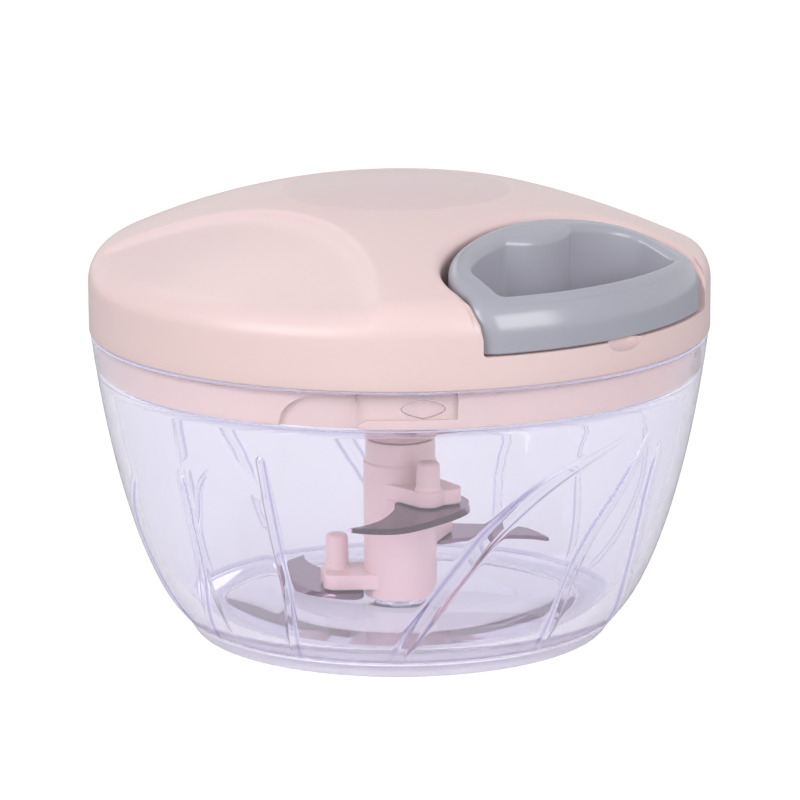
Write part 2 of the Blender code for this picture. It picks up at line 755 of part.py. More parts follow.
def make_cord(material, spool_parent, handle_parent):
    low = drum_bottom_z + seat_gap + cord_radius
    path = []
    count = int(cord_turns * cord_turn_steps)
    for i in range(count + 1):
        turn = winding_start() - 2.0 * math.pi * (count - i) / cord_turn_steps
        z = low + cord_turn_pitch * i / cord_turn_steps
        path.append(Vector((winding_radius * math.cos(turn), winding_radius * math.sin(turn), z)))
    mesh_object("cord_winding", tube(path, cord_radius, cord_sides), material, spool_parent)
    print("least gap between turns of the cord, mm:", round((cord_turn_pitch - 2 * cord_radius) / mm, 2))

    leave = path[-1]
    end = Vector((anchor_x() - knot_radius - seat_gap, 0.0, cord_z))
    eye = Vector((recess_rear_x - recess_wall - eyelet_flange, 0.0, cord_z))
    along = (eye - leave).normalized()
    route = [leave + along * (cord_radius + seat_gap)]
    route += [leave.lerp(eye, t) for t in (0.35, 0.7)]
    route += [eye, Vector((recess_rear_x, 0.0, cord_z)), end]
    mesh_object("cord_lead", tube(route, cord_radius, cord_sides), material, handle_parent)

    knot = turned(
        [(0.0, -1.0), (0.6, -0.8), (1.0, -0.35), (1.0, 0.35), (0.6, 0.8), (0.0, 1.0)], tiny_sides
    )
    bmesh.ops.scale(knot, vec=(knot_radius,) * 3, verts=knot.verts)
    mesh_object("cord_knot", knot, material, handle_parent, (anchor_x(), 0.0, cord_z))


def make_eyelet(material, parent):
    inner = cord_radius + cord_hole_gap
    inside_x = recess_rear_x - recess_wall - seat_gap - eyelet_flange
    length = recess_rear_x - 0.2 * mm - inside_x
    bm = turned(
        [(inner, 0.0), (eyelet_flange_radius, 0.0), (eyelet_flange_radius, eyelet_flange),
         (eyelet_radius, eyelet_flange), (eyelet_radius, length), (inner + 0.4 * mm, length),
         (inner, length - 0.5 * mm)],
        tiny_sides, closed=True,
    )
    bmesh.ops.rotate(bm, matrix=Matrix.Rotation(math.pi / 2, 3, "Y"), verts=bm.verts)
    return mesh_object("cord_eyelet", bm, material, parent, (inside_x, 0.0, cord_z))


def bowl_curve(t):
    # The wall's outer side, from the foot at t = 0 to the rim at t = 1.
    a = np.array((bowl_foot_radius, bowl_foot_z))
    b = np.array((bowl_foot_radius + bowl_low_swell, bowl_low_swell_z))
    c = np.array((bowl_rim_radius - bowl_high_draw, bowl_high_draw_z))
    d = np.array((bowl_rim_radius, rim_z))
    return a * (1 - t) ** 3 + 3 * b * t * (1 - t) ** 2 + 3 * c * t * t * (1 - t) + d * t**3


def bowl_radius_at(z):
    low, high = 0.0, 1.0
    for _ in range(40):
        middle = 0.5 * (low + high)
        if bowl_curve(middle)[1] < z:
            low = middle
        else:
            high = middle
    return bowl_curve(low)[0]


def rib_track(route):
    # (degrees, z) along a smooth curve through the route's points.
    spots = [np.array(spot) for spot in route]
    spots = [2 * spots[0] - spots[1]] + spots + [2 * spots[-1] - spots[-2]]
    track = []
    for i in range(1, len(spots) - 2):
        a, b, c, d = spots[i - 1 : i + 3]
        for k in range(rib_route_steps):
            t = k / rib_route_steps
            track.append(0.5 * (
                2 * b + (c - a) * t + (2 * a - 5 * b + 4 * c - d) * t**2 + (3 * b - a - 3 * c + d) * t**3
            ))
    track.append(spots[-2])
    return np.array(track)


def rib_at(track, z):
    # Where a rib is at a height, half of what a level row cuts from it (both in degrees), and its rise.
    radius = bowl_radius_at(z)
    low, high = track[0][1], track[-1][1]
    degrees, below, above = np.interp((z, z - 0.5 * mm, z + 0.5 * mm), track[:, 1], track[:, 0])
    slope = math.radians(above - below) * radius / mm
    half = rib_half_width * min(math.sqrt(1.0 + slope**2), rib_lean_most)
    share = min(max((z - low) / rib_end, 0.0), max((high - z) / rib_end, 0.0), 1.0)
    return degrees, math.degrees(half / radius), rib_rise * share


def wall_row(tracks, z, gaps):
    # A level row of the wall: its points follow the ribs, and stand out on them.
    ribs = [rib_at(track, min(z, rib_top_z)) for track in tracks]
    row = []
    for k, (degrees, half, rise) in enumerate(ribs):
        behind = ribs[k - 1][0] - (180.0 if k == 0 else 0.0)
        ahead, ahead_half = ribs[(k + 1) % len(ribs)][:2]
        if k == len(ribs) - 1:
            ahead += 180.0
        half = min(half, rib_room * (degrees - behind), rib_room * (ahead - degrees))
        ahead_half = min(ahead_half, rib_room * (ahead - degrees))
        row += [(degrees + across * half, out * rise) for across, out in rib_section]
        start = degrees + rib_section[-1][0] * half
        end = ahead + rib_section[0][0] * ahead_half
        row += [(start + (end - start) * (i + 1) / (gaps[k] + 1), 0.0) for i in range(gaps[k])]
    radius = bowl_radius_at(z)
    return [polar(radius + out, degrees + turn, z) for turn in (0.0, 180.0) for degrees, out in row]


def make_bowl(material, parent):
    tracks = [rib_track(route) for route in rib_routes]
    levels = np.linspace(bowl_foot_z, rib_top_z, wall_rows)
    places = [np.array([rib_at(track, z)[0] for z in levels]) for track in tracks]
    gaps = [int(max(b - a) / wall_column) for a, b in zip(places, places[1:] + [places[0] + 180.0])]
    rows = [wall_row(tracks, z, gaps) for z in levels]
    rows += [wall_row(tracks, z, gaps) for z in np.linspace(rib_top_z, rim_z, 4)[1:]]
    under = [[Vector((0.0, 0.0, bowl_spigot_z))]]
    for z in (bowl_spigot_z, bowl_foot_z):
        spigot = [point.to_2d().normalized() * bowl_spigot_radius for point in rows[0]]
        under.append([Vector((point.x, point.y, z)) for point in spigot])
    bowl = mesh_object("bowl", skin(under + rows), material, parent)

    ledge_z = collar_bottom_z - seat_gap
    above_z = rim_z + mm
    inside = [(0.0, pin_root_z - seat_gap), (pin_radius + seat_gap, pin_root_z - seat_gap)]
    inside += [(pin_radius + seat_gap, pin_boss_top_z), (pin_boss_radius, pin_boss_top_z)]
    inside += [(pin_boss_radius + pin_boss_taper, bowl_floor_top_z), (bowl_floor_radius, bowl_floor_top_z)]
    inside.append((bowl_floor_radius + bowl_corner_run, bowl_floor_top_z + bowl_corner_rise))
    for z in np.linspace(bowl_corner_top_z, ledge_z, 5):
        inside.append((bowl_radius_at(z) - bowl_wall, z))
    inside += [(socket_radius, ledge_z), (socket_radius, above_z), (0.0, above_z)]
    cut(bowl, tool("bowl_inside", turned(inside, bowl_sides)))
    for i in range(lug_count):
        join(bowl, tool("lug_%d" % (i + 1), lug_block(lug_angle + 360.0 * i / lug_count)))
    return bowl


def lug_block(degrees):
    # A lens-shaped lug that stands in from the wall.
    half_angle = math.degrees(0.5 * lug_length / collar_radius)
    rings = []
    for radius in (socket_radius - lug_reach, socket_radius + lug_root):
        ring = []
        for i in range(lug_sides):
            turn = 2.0 * math.pi * i / lug_sides
            spread = math.cos(turn)
            rise = math.sin(turn) * (1.0 - 0.35 * abs(spread))
            ring.append(polar(radius, degrees + half_angle * spread, lug_z + 0.5 * lug_height * rise))
        rings.append(ring)
    return skin(rings)


def make_foot_ring(material, parent):
    top = bowl_foot_z - seat_gap
    inner = bowl_spigot_radius + seat_gap
    profile = [
        (inner, 0.0), (foot_radius - foot_round, 0.0), (foot_radius, 0.5 * foot_round),
        (bowl_foot_radius - 0.5 * foot_top_round, top - foot_top_round),
        (bowl_foot_radius - foot_top_round, top), (inner, top),
    ]
    return mesh_object("foot_ring", turned(profile, bowl_sides, closed=True), material, parent)


def make_centre_pin(material, parent):
    profile = [
        (0.0, pin_root_z), (pin_radius, pin_root_z), (pin_radius, pin_top_z - mm),
        (pin_radius - mm, pin_top_z), (0.0, pin_top_z),
    ]
    return mesh_object("centre_pin", turned(profile, tiny_sides), material, parent)


def hexagon(radius):
    return [polar(radius, 60.0 * i).to_2d() for i in range(6)]


def make_blade_shaft(material, parent):
    neck = column_radius - column_neck_inset
    profile = [
        (0.0, pin_top_z + seat_gap), (pin_radius + running_gap, pin_top_z + seat_gap),
        (pin_radius + running_gap, column_bottom_z), (column_radius - column_edge, column_bottom_z),
        (column_radius, column_bottom_z + column_edge), (column_radius, column_neck_z),
        (neck, column_neck_z), (neck, column_top_z), (0.0, column_top_z),
    ]
    shaft = mesh_object("blade_shaft", turned(profile, small_sides), material, parent)
    join(shaft, tool("drive_spigot", prism(hexagon(spigot_radius), column_top_z - mm, spigot_top_z)))
    outline = arm_outline()
    slim = peg_radius - peg_taper
    for i, (degrees, top, peg_top) in enumerate(zip(arm_angles, arm_top_z, peg_top_z)):
        arm = prism(outline, top - arm_thickness, top)
        bmesh.ops.rotate(arm, matrix=Matrix.Rotation(math.radians(degrees), 3, "Z"), verts=arm.verts)
        join(shaft, tool("arm_%d" % (i + 1), arm))
        peg = turned(
            [(0.0, top - mm), (peg_radius, top - mm), (slim, peg_top - peg_round),
             (slim - peg_round, peg_top), (0.0, peg_top)],
            tiny_sides,
        )
        join(shaft, tool("peg_%d" % (i + 1), peg, polar(peg_reach, degrees)))
    return shaft


def arm_outline():
    # An arm along +X: as wide as the column at its root, with a nose under the peg and a lobe beside it.
    root_radius, root_turn = arm_root
    root = [polar(root_radius, side * root_turn).to_2d() for side in (1.0, -1.0)]
    nose = [polar(peg_reach, 0.0) + polar(arm_nose_radius, turn) for turn in (-80.0, -52.0, -24.0, 4.0)]
    middle = polar(*arm_lobe)
    lobe = [middle + polar(arm_lobe_radius, turn) for turn in (14.0, 40.0, 72.0, 104.0)]
    return root + [point.to_2d() for point in nose + lobe]


def blade_outline():
    # A sickle, for an arm along +X: a round root, and an outer cutting edge and a hollow back up to the tip.
    route = (blade_tip,) + blade_back + (blade_root,) + blade_edge
    return [polar(radius, degrees).to_2d() for radius, degrees in route]


def make_blades(material, parent):
    names = ("upper_blade", "middle_blade", "lower_blade")
    blank = prism(blade_outline(), -blade_thickness, 0.0)
    first = None
    for name, degrees, top in zip(names, arm_angles, arm_top_z):
        spot = (0.0, 0.0, top - arm_thickness - seat_gap)
        if first is None:
            first = mesh_object(name, blank, material, parent, spot)
            first.rotation_euler = (0.0, 0.0, math.radians(degrees))
        else:
            copy_object(name, first, parent, spot, math.radians(degrees))


def make_drive_hub(material, parent):
    profile = [
        (0.0, axle_bottom_z - seat_gap), (axle_bore, axle_bottom_z - seat_gap), (axle_bore, cup_floor_z),
        (cup_radius, cup_floor_z), (cup_radius, cup_bottom_z), (hub_radius, cup_bottom_z),
        (hub_radius, hub_bottom_z), (0.0, hub_bottom_z),
    ]
    hub = mesh_object("drive_hub", turned(profile, middle_sides), material, parent)
    cup = turned([(cup_radius, cup_floor_z - cup_wall_root), (cup_radius, cup_top_z)], middle_sides)
    wall = tool("cup_wall", cup)
    teeth = []
    pitch = 360.0 / cup_teeth
    for i in range(cup_teeth):
        for along, out in cup_tooth_steps:
            radius = cup_tooth_tip + out * (cup_tooth_root - cup_tooth_tip)
            teeth.append(polar(radius, pitch * (i + along)).to_2d())
    cut(wall, tool("cup_teeth", prism(teeth, cup_floor_z - mm, cup_top_z + mm)))
    join(hub, wall)
    socket = prism(hexagon(spigot_radius + running_gap), hub_bottom_z - mm, spigot_top_z + seat_gap)
    cut(hub, tool("spigot_socket", socket))
    return hub


def make_spool(material, parent):
    profile = [
        (axle_bore, pawl_bottom_z), (spool_sleeve_radius, pawl_bottom_z),
        (spool_sleeve_radius, lower_flange_z), (spool_flange_radius, lower_flange_z),
        (spool_flange_radius, drum_bottom_z), (spool_drum_radius, drum_bottom_z),
        (spool_drum_radius, drum_top_z), (spool_flange_radius, drum_top_z),
        (spool_flange_radius, upper_flange_top_z), (spool_arbor_radius, upper_flange_top_z),
        (spool_arbor_radius, arbor_top_z), (axle_bore, arbor_top_z),
    ]
    spool = mesh_object("cord_spool", turned(profile, middle_sides, closed=True), material, parent)
    for i in range(pawl_count):
        pin = rod(pawl_pin_radius, pawl_bottom_z, lower_flange_z + 0.5 * mm)
        join(spool, tool("pawl_pin_%d" % (i + 1), pin, polar(pawl_pivot_radius, 360.0 * i / pawl_count)))
    return spool


def make_pawls(material, parents):
    # The nose points round and out from the pin, into a tooth of the cup.
    eye = pawl_pin_radius + running_gap
    half = 0.5 * pawl_width
    pitch = 360.0 / cup_teeth
    face = polar(cup_tooth_root - pawl_nose_gap, pitch - pawl_lag) - polar(pawl_pivot_radius, 0.0)
    way = face.to_2d().normalized()
    side = Vector((-way.y, way.x))
    length = face.to_2d().length
    outline = [half * 1.25 * (way * math.cos(a) + side * math.sin(a)) for a in np.linspace(1.2, 5.08, 9)]
    outline += [way * (length - 0.9 * mm) - side * half * 0.4, way * length - side * 0.1 * mm]
    outline += [way * (length - 0.7 * mm) + side * half * 0.55]
    first = None
    for i, parent in enumerate(parents):
        name = "pawl_%d" % (i + 1)
        if first is None:
            first = mesh_object(name, prism(outline, pawl_bottom_z, pawl_top_z), material, parent)
            cut(first, tool("pawl_eye", rod(eye, pawl_bottom_z - mm, pawl_top_z + mm), parent.location))
            bpy.context.view_layer.update()
            finished = first.evaluated_get(bpy.context.evaluated_depsgraph_get())
            shape = bpy.data.meshes.new_from_object(finished)
            first.modifiers.clear()
            first.data = shape
        else:
            copy_object(name, first, parent, (0.0, 0.0, 0.0), 0.0)


def make_axle(material, parent):
    slim = axle_radius - axle_bevel
    profile = [
        (0.0, axle_bottom_z), (slim, axle_bottom_z), (axle_radius, axle_bottom_z + axle_bevel),
        (axle_radius, axle_top_z - axle_bevel), (slim, axle_top_z), (0.0, axle_top_z),
    ]
    return mesh_object("spool_axle", turned(profile, tiny_sides), material, parent)


def make_spring(material, parent):
    # A flat strip wound in a spiral, from the spool's arbor out to the case.
    count = int(spring_turns * spring_turn_steps)
    rings = []
    for i in range(count + 1):
        share = i / count
        degrees = 360.0 * spring_turns * share
        radius = spring_inner_radius + (spring_outer_radius - spring_inner_radius) * share
        rings.append([
            polar(radius, degrees, spring_bottom_z), polar(radius + spring_strip, degrees, spring_bottom_z),
            polar(radius + spring_strip, degrees, spring_top_z), polar(radius, degrees, spring_top_z),
        ])
    gap = (spring_outer_radius - spring_inner_radius) / spring_turns - spring_strip
    print("least gap between turns of the spring, mm:", round(gap / mm, 2))
    return mesh_object("return_spring", skin(rings), material, parent)


def make_spring_cover(material, parent):
    edge = case_inner_radius + case_wall
    hole = spool_arbor_radius + running_gap
    profile = [(hole, cover_bottom_z), (edge, cover_bottom_z), (edge, cover_top_z), (hole, cover_top_z)]
    cover = mesh_object("spring_cover", turned(profile, middle_sides, closed=True), material, parent)
    ear = screw_shank_radius + cover_ear_wall
    for i, degrees in enumerate(cover_screw_angles):
        outline = [Vector((edge - cover_ear_lap, -ear * 1.5))]
        for turn in np.linspace(-cover_ear_turn, cover_ear_turn, 7):
            outline.append(Vector((cover_screw_reach, 0.0)) + polar(ear, turn).to_2d())
        outline.append(Vector((edge - cover_ear_lap, ear * 1.5)))
        lug = prism(outline, cover_bottom_z, cover_top_z)
        bmesh.ops.rotate(lug, matrix=Matrix.Rotation(math.radians(degrees), 3, "Z"), verts=lug.verts)
        join(cover, tool("cover_ear_%d" % (i + 1), lug))
        bore = rod(screw_shank_radius + seat_gap, cover_bottom_z - mm, cover_top_z + mm, bore_sides)
        cut(cover, tool("cover_hole_%d" % (i + 1), bore, polar(cover_screw_reach, degrees)))
    return cover


def make_screws(material, parent):
    for prefix, angles, reach, length, seat in (
        ("lid_screw", lid_screw_angles, lid_screw_reach, lid_screw_length, plate_bottom_z),
        ("cover_screw", cover_screw_angles, cover_screw_reach, cover_screw_length, cover_bottom_z),
    ):
        first = None
        for i, degrees in enumerate(angles):
            spot = polar(reach, degrees, seat - seat_gap)
            name = "%s_%d" % (prefix, i + 1)
            if first is None:
                first = mesh_object(name, screw_mesh(length), material, parent, spot)
            else:
                copy_object(name, first, parent, spot, 0.0)


def main():
    clear_scene()
    pink = make_material("lid_plastic", lid_pink, 0.45)
    grey = make_material("handle_plastic", handle_grey, 0.38)
    clear = make_material("bowl_plastic", clear_plastic, 0.05)
    foot = make_material("foot_rubber", foot_plastic, 0.5)
    steel = make_material("blade_steel", blade_steel, 0.25, 1.0)
    plain_steel = make_material("pin_steel", pin_steel, 0.3, 1.0)
    cord = make_material("cord_nylon", cord_white, 0.7)
    white = make_material("acetal", acetal_white, 0.4)

    bowl_place = empty("bowl_place")
    lid_turn = empty("lid_turn_axis", parent=bowl_place)
    handle_pull = empty("handle_pull_line", parent=lid_turn)
    spool_turn = empty("spool_turn_axis", parent=lid_turn)
    drive_spin = empty("drive_spin_axis", parent=lid_turn)
    pawl_pivots = []
    for i in range(pawl_count):
        pivot = empty("pawl_pivot_%d" % (i + 1), polar(pawl_pivot_radius, 360.0 * i / pawl_count), spool_turn)
        pivot.rotation_euler = (0.0, 0.0, 2.0 * math.pi * i / pawl_count)
        pawl_pivots.append(pivot)

    make_bowl(clear, bowl_place)
    make_foot_ring(foot, bowl_place)
    make_centre_pin(plain_steel, bowl_place)
    make_lid_shell(pink, lid_turn)
    make_lid_base(pink, lid_turn)
    make_screws(plain_steel, lid_turn)
    make_axle(plain_steel, lid_turn)
    make_spring(plain_steel, lid_turn)
    make_spring_cover(white, lid_turn)
    make_eyelet(white, lid_turn)
    make_handle(grey, handle_pull)
    make_cord(cord, spool_turn, handle_pull)
    make_spool(white, spool_turn)
    make_pawls(white, pawl_pivots)
    make_drive_hub(pink, drive_spin)
    make_blade_shaft(pink, drive_spin)
    make_blades(steel, drive_spin)


main()
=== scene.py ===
import math
from math import cos, pi, radians, sin, sqrt

import bmesh
import bpy
import numpy as np
from mathutils import Matrix, Vector


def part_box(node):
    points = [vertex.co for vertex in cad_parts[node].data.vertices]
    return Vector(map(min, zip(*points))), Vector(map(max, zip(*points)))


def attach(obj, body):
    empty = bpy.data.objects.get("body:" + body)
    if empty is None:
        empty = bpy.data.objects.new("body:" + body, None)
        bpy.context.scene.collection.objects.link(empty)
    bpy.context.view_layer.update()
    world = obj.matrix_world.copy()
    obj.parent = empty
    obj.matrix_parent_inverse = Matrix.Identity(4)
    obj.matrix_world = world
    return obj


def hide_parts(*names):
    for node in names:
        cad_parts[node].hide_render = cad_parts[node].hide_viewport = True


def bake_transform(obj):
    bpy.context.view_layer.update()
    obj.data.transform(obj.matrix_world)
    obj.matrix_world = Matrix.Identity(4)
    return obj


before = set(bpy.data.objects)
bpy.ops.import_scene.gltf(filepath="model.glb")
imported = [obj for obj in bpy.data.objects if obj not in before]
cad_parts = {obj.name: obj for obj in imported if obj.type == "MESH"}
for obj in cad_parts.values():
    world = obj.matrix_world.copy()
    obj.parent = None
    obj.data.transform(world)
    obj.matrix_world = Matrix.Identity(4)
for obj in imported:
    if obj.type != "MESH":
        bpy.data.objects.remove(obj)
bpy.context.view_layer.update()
mm = 0.001
print("frame loaded")


# Small helpers

def millimetres(**values):
    # A dictionary of lengths, or of tuples of lengths, typed in millimetres and kept in metres.
    return {name: tuple(part * mm for part in value) if isinstance(value, tuple) else value * mm
            for name, value in values.items()}


def pick(shape, names):
    return [shape[name] for name in names.split()]


def polar(radius, degrees, z=0.0):
    angle = radians(degrees)
    return Vector((radius * cos(angle), radius * sin(angle), z))


def smoothStep(value, low, high):
    t = min(max((value - low) / (high - low), 0.0), 1.0)
    return t * t * (3.0 - 2.0 * t)


def quarterArc(size, steps, span=0.5 * pi):
    # A rounded edge in steps: how far each lies from the two faces that it joins.
    angles = [span * k / steps for k in range(steps + 1)]
    return [(size * (1 - cos(angle)), size * (1 - sin(angle))) for angle in angles]


def bezierPoints(start, control, end, steps):
    # The points of a quadratic curve without its two ends.
    shares = [i / steps for i in range(1, steps)]
    return [start * (1 - t) ** 2 + control * 2 * t * (1 - t) + end * t * t for t in shares]


def smoothRoute(spots, steps):
    # Catmull-Rom through a list of points.
    spots = [np.array(spot, float) for spot in spots]
    spots = [2 * spots[0] - spots[1]] + spots + [2 * spots[-1] - spots[-2]]
    path = []
    for i in range(1, len(spots) - 2):
        a, b, c, d = spots[i - 1 : i + 3]
        for k in range(steps):
            t = k / steps
            path.append(0.5 * (2 * b + (c - a) * t + (2 * a - 5 * b + 4 * c - d) * t**2
                               + (3 * b - a - 3 * c + d) * t**3))
    path.append(spots[-2])
    return np.array(path)


def evenPath(points, step=None, count=None):
    # Points at even distances along a line, a step apart or as many as counted.
    points = np.array(points, float)
    along = np.concatenate(([0.0], np.cumsum(np.linalg.norm(np.diff(points, axis=0), axis=1))))
    even = np.linspace(0.0, along[-1], count or max(int(along[-1] / step), 2))
    return [Vector([float(np.interp(t, along, column)) for column in points.T]) for t in even]


def circleRing(radius, z, count):
    if radius == 0.0:
        return [Vector((0.0, 0.0, z))]
    return [polar(radius, 360.0 * i / count, z) for i in range(count)]


def skinRings(rings, closed=False):
    # Quads between rings of points; a ring of one point is a pole, and open ends get a cap.
    points = []
    starts = []
    for ring in rings:
        starts.append(len(points))
        points += [tuple(point) for point in ring]
    faces = []
    for k in list(range(len(rings) - 1)) + [-1] * closed:
        low, high = starts[k], starts[k + 1]
        lowCount, highCount = len(rings[k]), len(rings[k + 1])
        for i in range(max(lowCount, highCount)):
            corners = [low + i % lowCount, low + (i + 1) % lowCount, high + (i + 1) % highCount, high + i % highCount]
            faces.append(tuple(dict.fromkeys(corners)))
    if not closed:
        faces += [tuple(starts[k] + i for i in range(len(rings[k]))) for k in (0, -1) if len(rings[k]) > 2]
    return points, faces


def turned(profile, count, closed=False):
    return skinRings([circleRing(radius, z, count) for radius, z in profile], closed)


def prism(outline, low, high):
    return skinRings([[(p[0], p[1], z) for p in outline] for z in (low, high)])


def rod(radius, low, high):
    return turned([(radius, low), (radius, high)], 24)


def roundedProfile(corners, steps):
    # The (radius, z, round) corners of a profile, each turned into an arc of its own size.
    points = []
    for i, (r, z, size) in enumerate(corners):
        if size == 0.0 or i in (0, len(corners) - 1):
            points.append((r, z))
            continue
        here = Vector((r, z))
        before = Vector(corners[i - 1][:2]) - here
        after = Vector(corners[i + 1][:2]) - here
        reach = min(size, 0.45 * before.length, 0.45 * after.length)
        start = here + before.normalized() * reach
        end = here + after.normalized() * reach
        points += [tuple(spot) for spot in [start] + bezierPoints(start, here, end, steps) + [end]]
    return points


def linked(name, data):
    item = bpy.data.objects.new(name, data)
    bpy.context.scene.collection.objects.link(item)
    return item


def newObject(name, geometry, location=(0.0, 0.0, 0.0), turn=0.0):
    points, faces = geometry
    bm = bmesh.new()
    made = [bm.verts.new(point) for point in points]
    for face in faces:
        bm.faces.new([made[i] for i in face])
    bmesh.ops.recalc_face_normals(bm, faces=bm.faces)
    mesh = bpy.data.meshes.new(name)
    bm.to_mesh(mesh)
    bm.free()
    item = linked(name, mesh)
    item.location = location
    item.rotation_euler = (0.0, 0.0, radians(turn))
    return item


def rodAlongX(name, radius, low, high, location):
    item = newObject(name, rod(radius, low, high), location)
    item.data.transform(Matrix.Rotation(pi / 2, 4, "Y"))
    return item


def carve(piece, others, operation="DIFFERENCE"):
    # Cuts or joins each of the other objects and removes them.
    for other in others:
        step = piece.modifiers.new(other.name, "BOOLEAN")
        step.object = other
        step.operation = operation
        step.solver = "EXACT"
    bpy.context.view_layer.update()
    depsgraph = bpy.context.evaluated_depsgraph_get()
    mesh = bpy.data.meshes.new_from_object(piece.evaluated_get(depsgraph))
    piece.modifiers.clear()
    piece.data = mesh
    for other in others:
        bpy.data.objects.remove(other, do_unlink=True)


def shade(piece, material, sharp):
    piece.data.materials.clear()
    piece.data.materials.append(material)
    piece.data.shade_smooth()
    piece.data.set_sharp_from_angle(angle=radians(sharp))


def dress(piece, material, body, node, sharp=32.0):
    shade(piece, material, sharp)
    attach(piece, body)
    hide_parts(node)


# Materials

def setInputs(tree, node, inputs):
    # Each input gets a value, or a link from another node's output.
    for name, value in inputs.items():
        if isinstance(value, bpy.types.NodeSocket):
            tree.links.new(value, node.inputs[name])
        else:
            node.inputs[name].default_value = value


def addNode(tree, kind, inputs={}, **settings):
    node = tree.nodes.new("ShaderNode" + kind)
    for name, value in settings.items():
        setattr(node, name, value)
    setInputs(tree, node, inputs)
    return node


def emptyMaterial(name):
    material = bpy.data.materials.new(name)
    material.use_nodes = True
    return material, material.node_tree, material.node_tree.nodes["Principled BSDF"]


def objectCoords(tree, scale=(1.0, 1.0, 1.0)):
    coords = addNode(tree, "TexCoord")
    return addNode(tree, "Mapping", {"Scale": scale, "Vector": coords.outputs["Object"]}).outputs["Vector"]


def noiseNode(tree, vector, scale, detail=3.0):
    return addNode(tree, "TexNoise", {"Scale": scale, "Detail": detail, "Vector": vector}).outputs["Fac"]


def mathNode(tree, operation, first, second):
    return addNode(tree, "Math", {0: first, 1: second}, operation=operation).outputs[0]


def rangeNode(tree, value, low, high):
    return addNode(tree, "MapRange", {"To Min": low, "To Max": high, "Value": value}).outputs["Result"]


def rampNode(tree, value, first, second, low=0.35, high=0.65):
    node = addNode(tree, "ValToRGB", {"Fac": value})
    for element, place, colour in zip(node.color_ramp.elements, (low, high), (first, second)):
        element.position = place
        element.color = (*colour, 1.0)
    return node.outputs["Color"]


def mixColour(tree, share, first, second):
    return addNode(tree, "Mix", {0: share, 6: first, 7: (*second, 1.0)}, data_type="RGBA").outputs[2]


def bumpNode(tree, value, strength, distance, **before):
    inputs = {"Strength": strength, "Distance": distance, "Height": value} | before
    return addNode(tree, "Bump", inputs).outputs["Normal"]


def seenShare(tree, through, mirrored):
    # 1 for what the camera sees directly, a share of it through clear plastic, and one for mirror images in its wall.
    path = addNode(tree, "LightPath").outputs
    again = mathNode(tree, "GREATER_THAN", path["Ray Depth"], 1.5)
    inWall = mathNode(tree, "MULTIPLY", again, path["Is Glossy Ray"])
    first = mathNode(tree, "MULTIPLY", path["Is Transmission Ray"], through)
    second = mathNode(tree, "MULTIPLY", inWall, mirrored)
    return mathNode(tree, "MAXIMUM", path["Is Camera Ray"], mathNode(tree, "MAXIMUM", first, second))


lidPlasticLook = dict(
    colour=(0.85, 0.655, 0.635), paler=(0.865, 0.675, 0.655), flowScale=30.0, skinScale=2600.0,
    roughness=(0.28, 0.36), skinBump=0.1, skinHeight=0.00003, waveScale=22.0, waveBump=0.25, waveHeight=0.0002,
    specular=0.45, glow=0.08, glowRadius=(0.0025, 0.0012, 0.001),
)
# Painted shade for the crown disc: a darker, cooler pink inside its radius.
crownDiscShadeLook = dict(discRadius=0.0226, discEdge=0.97, discShadeColour=(0.79, 0.62, 0.62))
handlePlasticLook = lidPlasticLook | dict(
    colour=(0.395, 0.40, 0.46), paler=(0.415, 0.42, 0.48), flowScale=45.0, skinScale=2200.0,
    roughness=(0.16, 0.23), skinBump=0.06, waveScale=30.0, waveHeight=0.00015, specular=0.65, glow=0.0,
)
acetalLook = lidPlasticLook | dict(
    colour=(0.80, 0.80, 0.78), paler=(0.84, 0.84, 0.82), flowScale=60.0, skinScale=2400.0,
    roughness=(0.38, 0.48), waveScale=40.0, waveHeight=0.0001, glow=0.0,
)
# The edge colour below is painted shade: a darker lavender laid on rib flanks and rounded edges.
clearPlasticLook = dict(
    tint=(0.935, 0.93, 0.978), indexOfRefraction=1.47, roughness=(0.005, 0.03), clear=0.94,
    absorbed=(0.80, 0.78, 0.90), density=70.0, waveScale=26.0, waveBump=0.35, waveHeight=0.0002, scuffScale=240.0,
    passed=(0.95, 0.94, 0.97), deepest=4.5, mostMirrored=0.5, paintedEdgeShade=(0.30, 0.26, 0.55), paintedEdgeShare=0.9,
)
footPlasticLook = clearPlasticLook | dict(
    tint=(0.96, 0.95, 0.97), indexOfRefraction=1.41, roughness=(0.30, 0.42), clear=0.75,
    absorbed=(0.92, 0.90, 0.94), density=30.0, waveScale=60.0, waveHeight=0.0001, passed=(0.9, 0.88, 0.9),
    deepest=6.5, mostMirrored=1.5, paintedEdgeShare=0.0,
)
# The hollow colour is painted shade in the braid's hollows.
cordLook = dict(strandScale=520.0, hollow=(0.66, 0.66, 0.65), raised=(0.83, 0.83, 0.81), roughness=(0.75, 0.6),
                bump=0.6, height=0.0001)


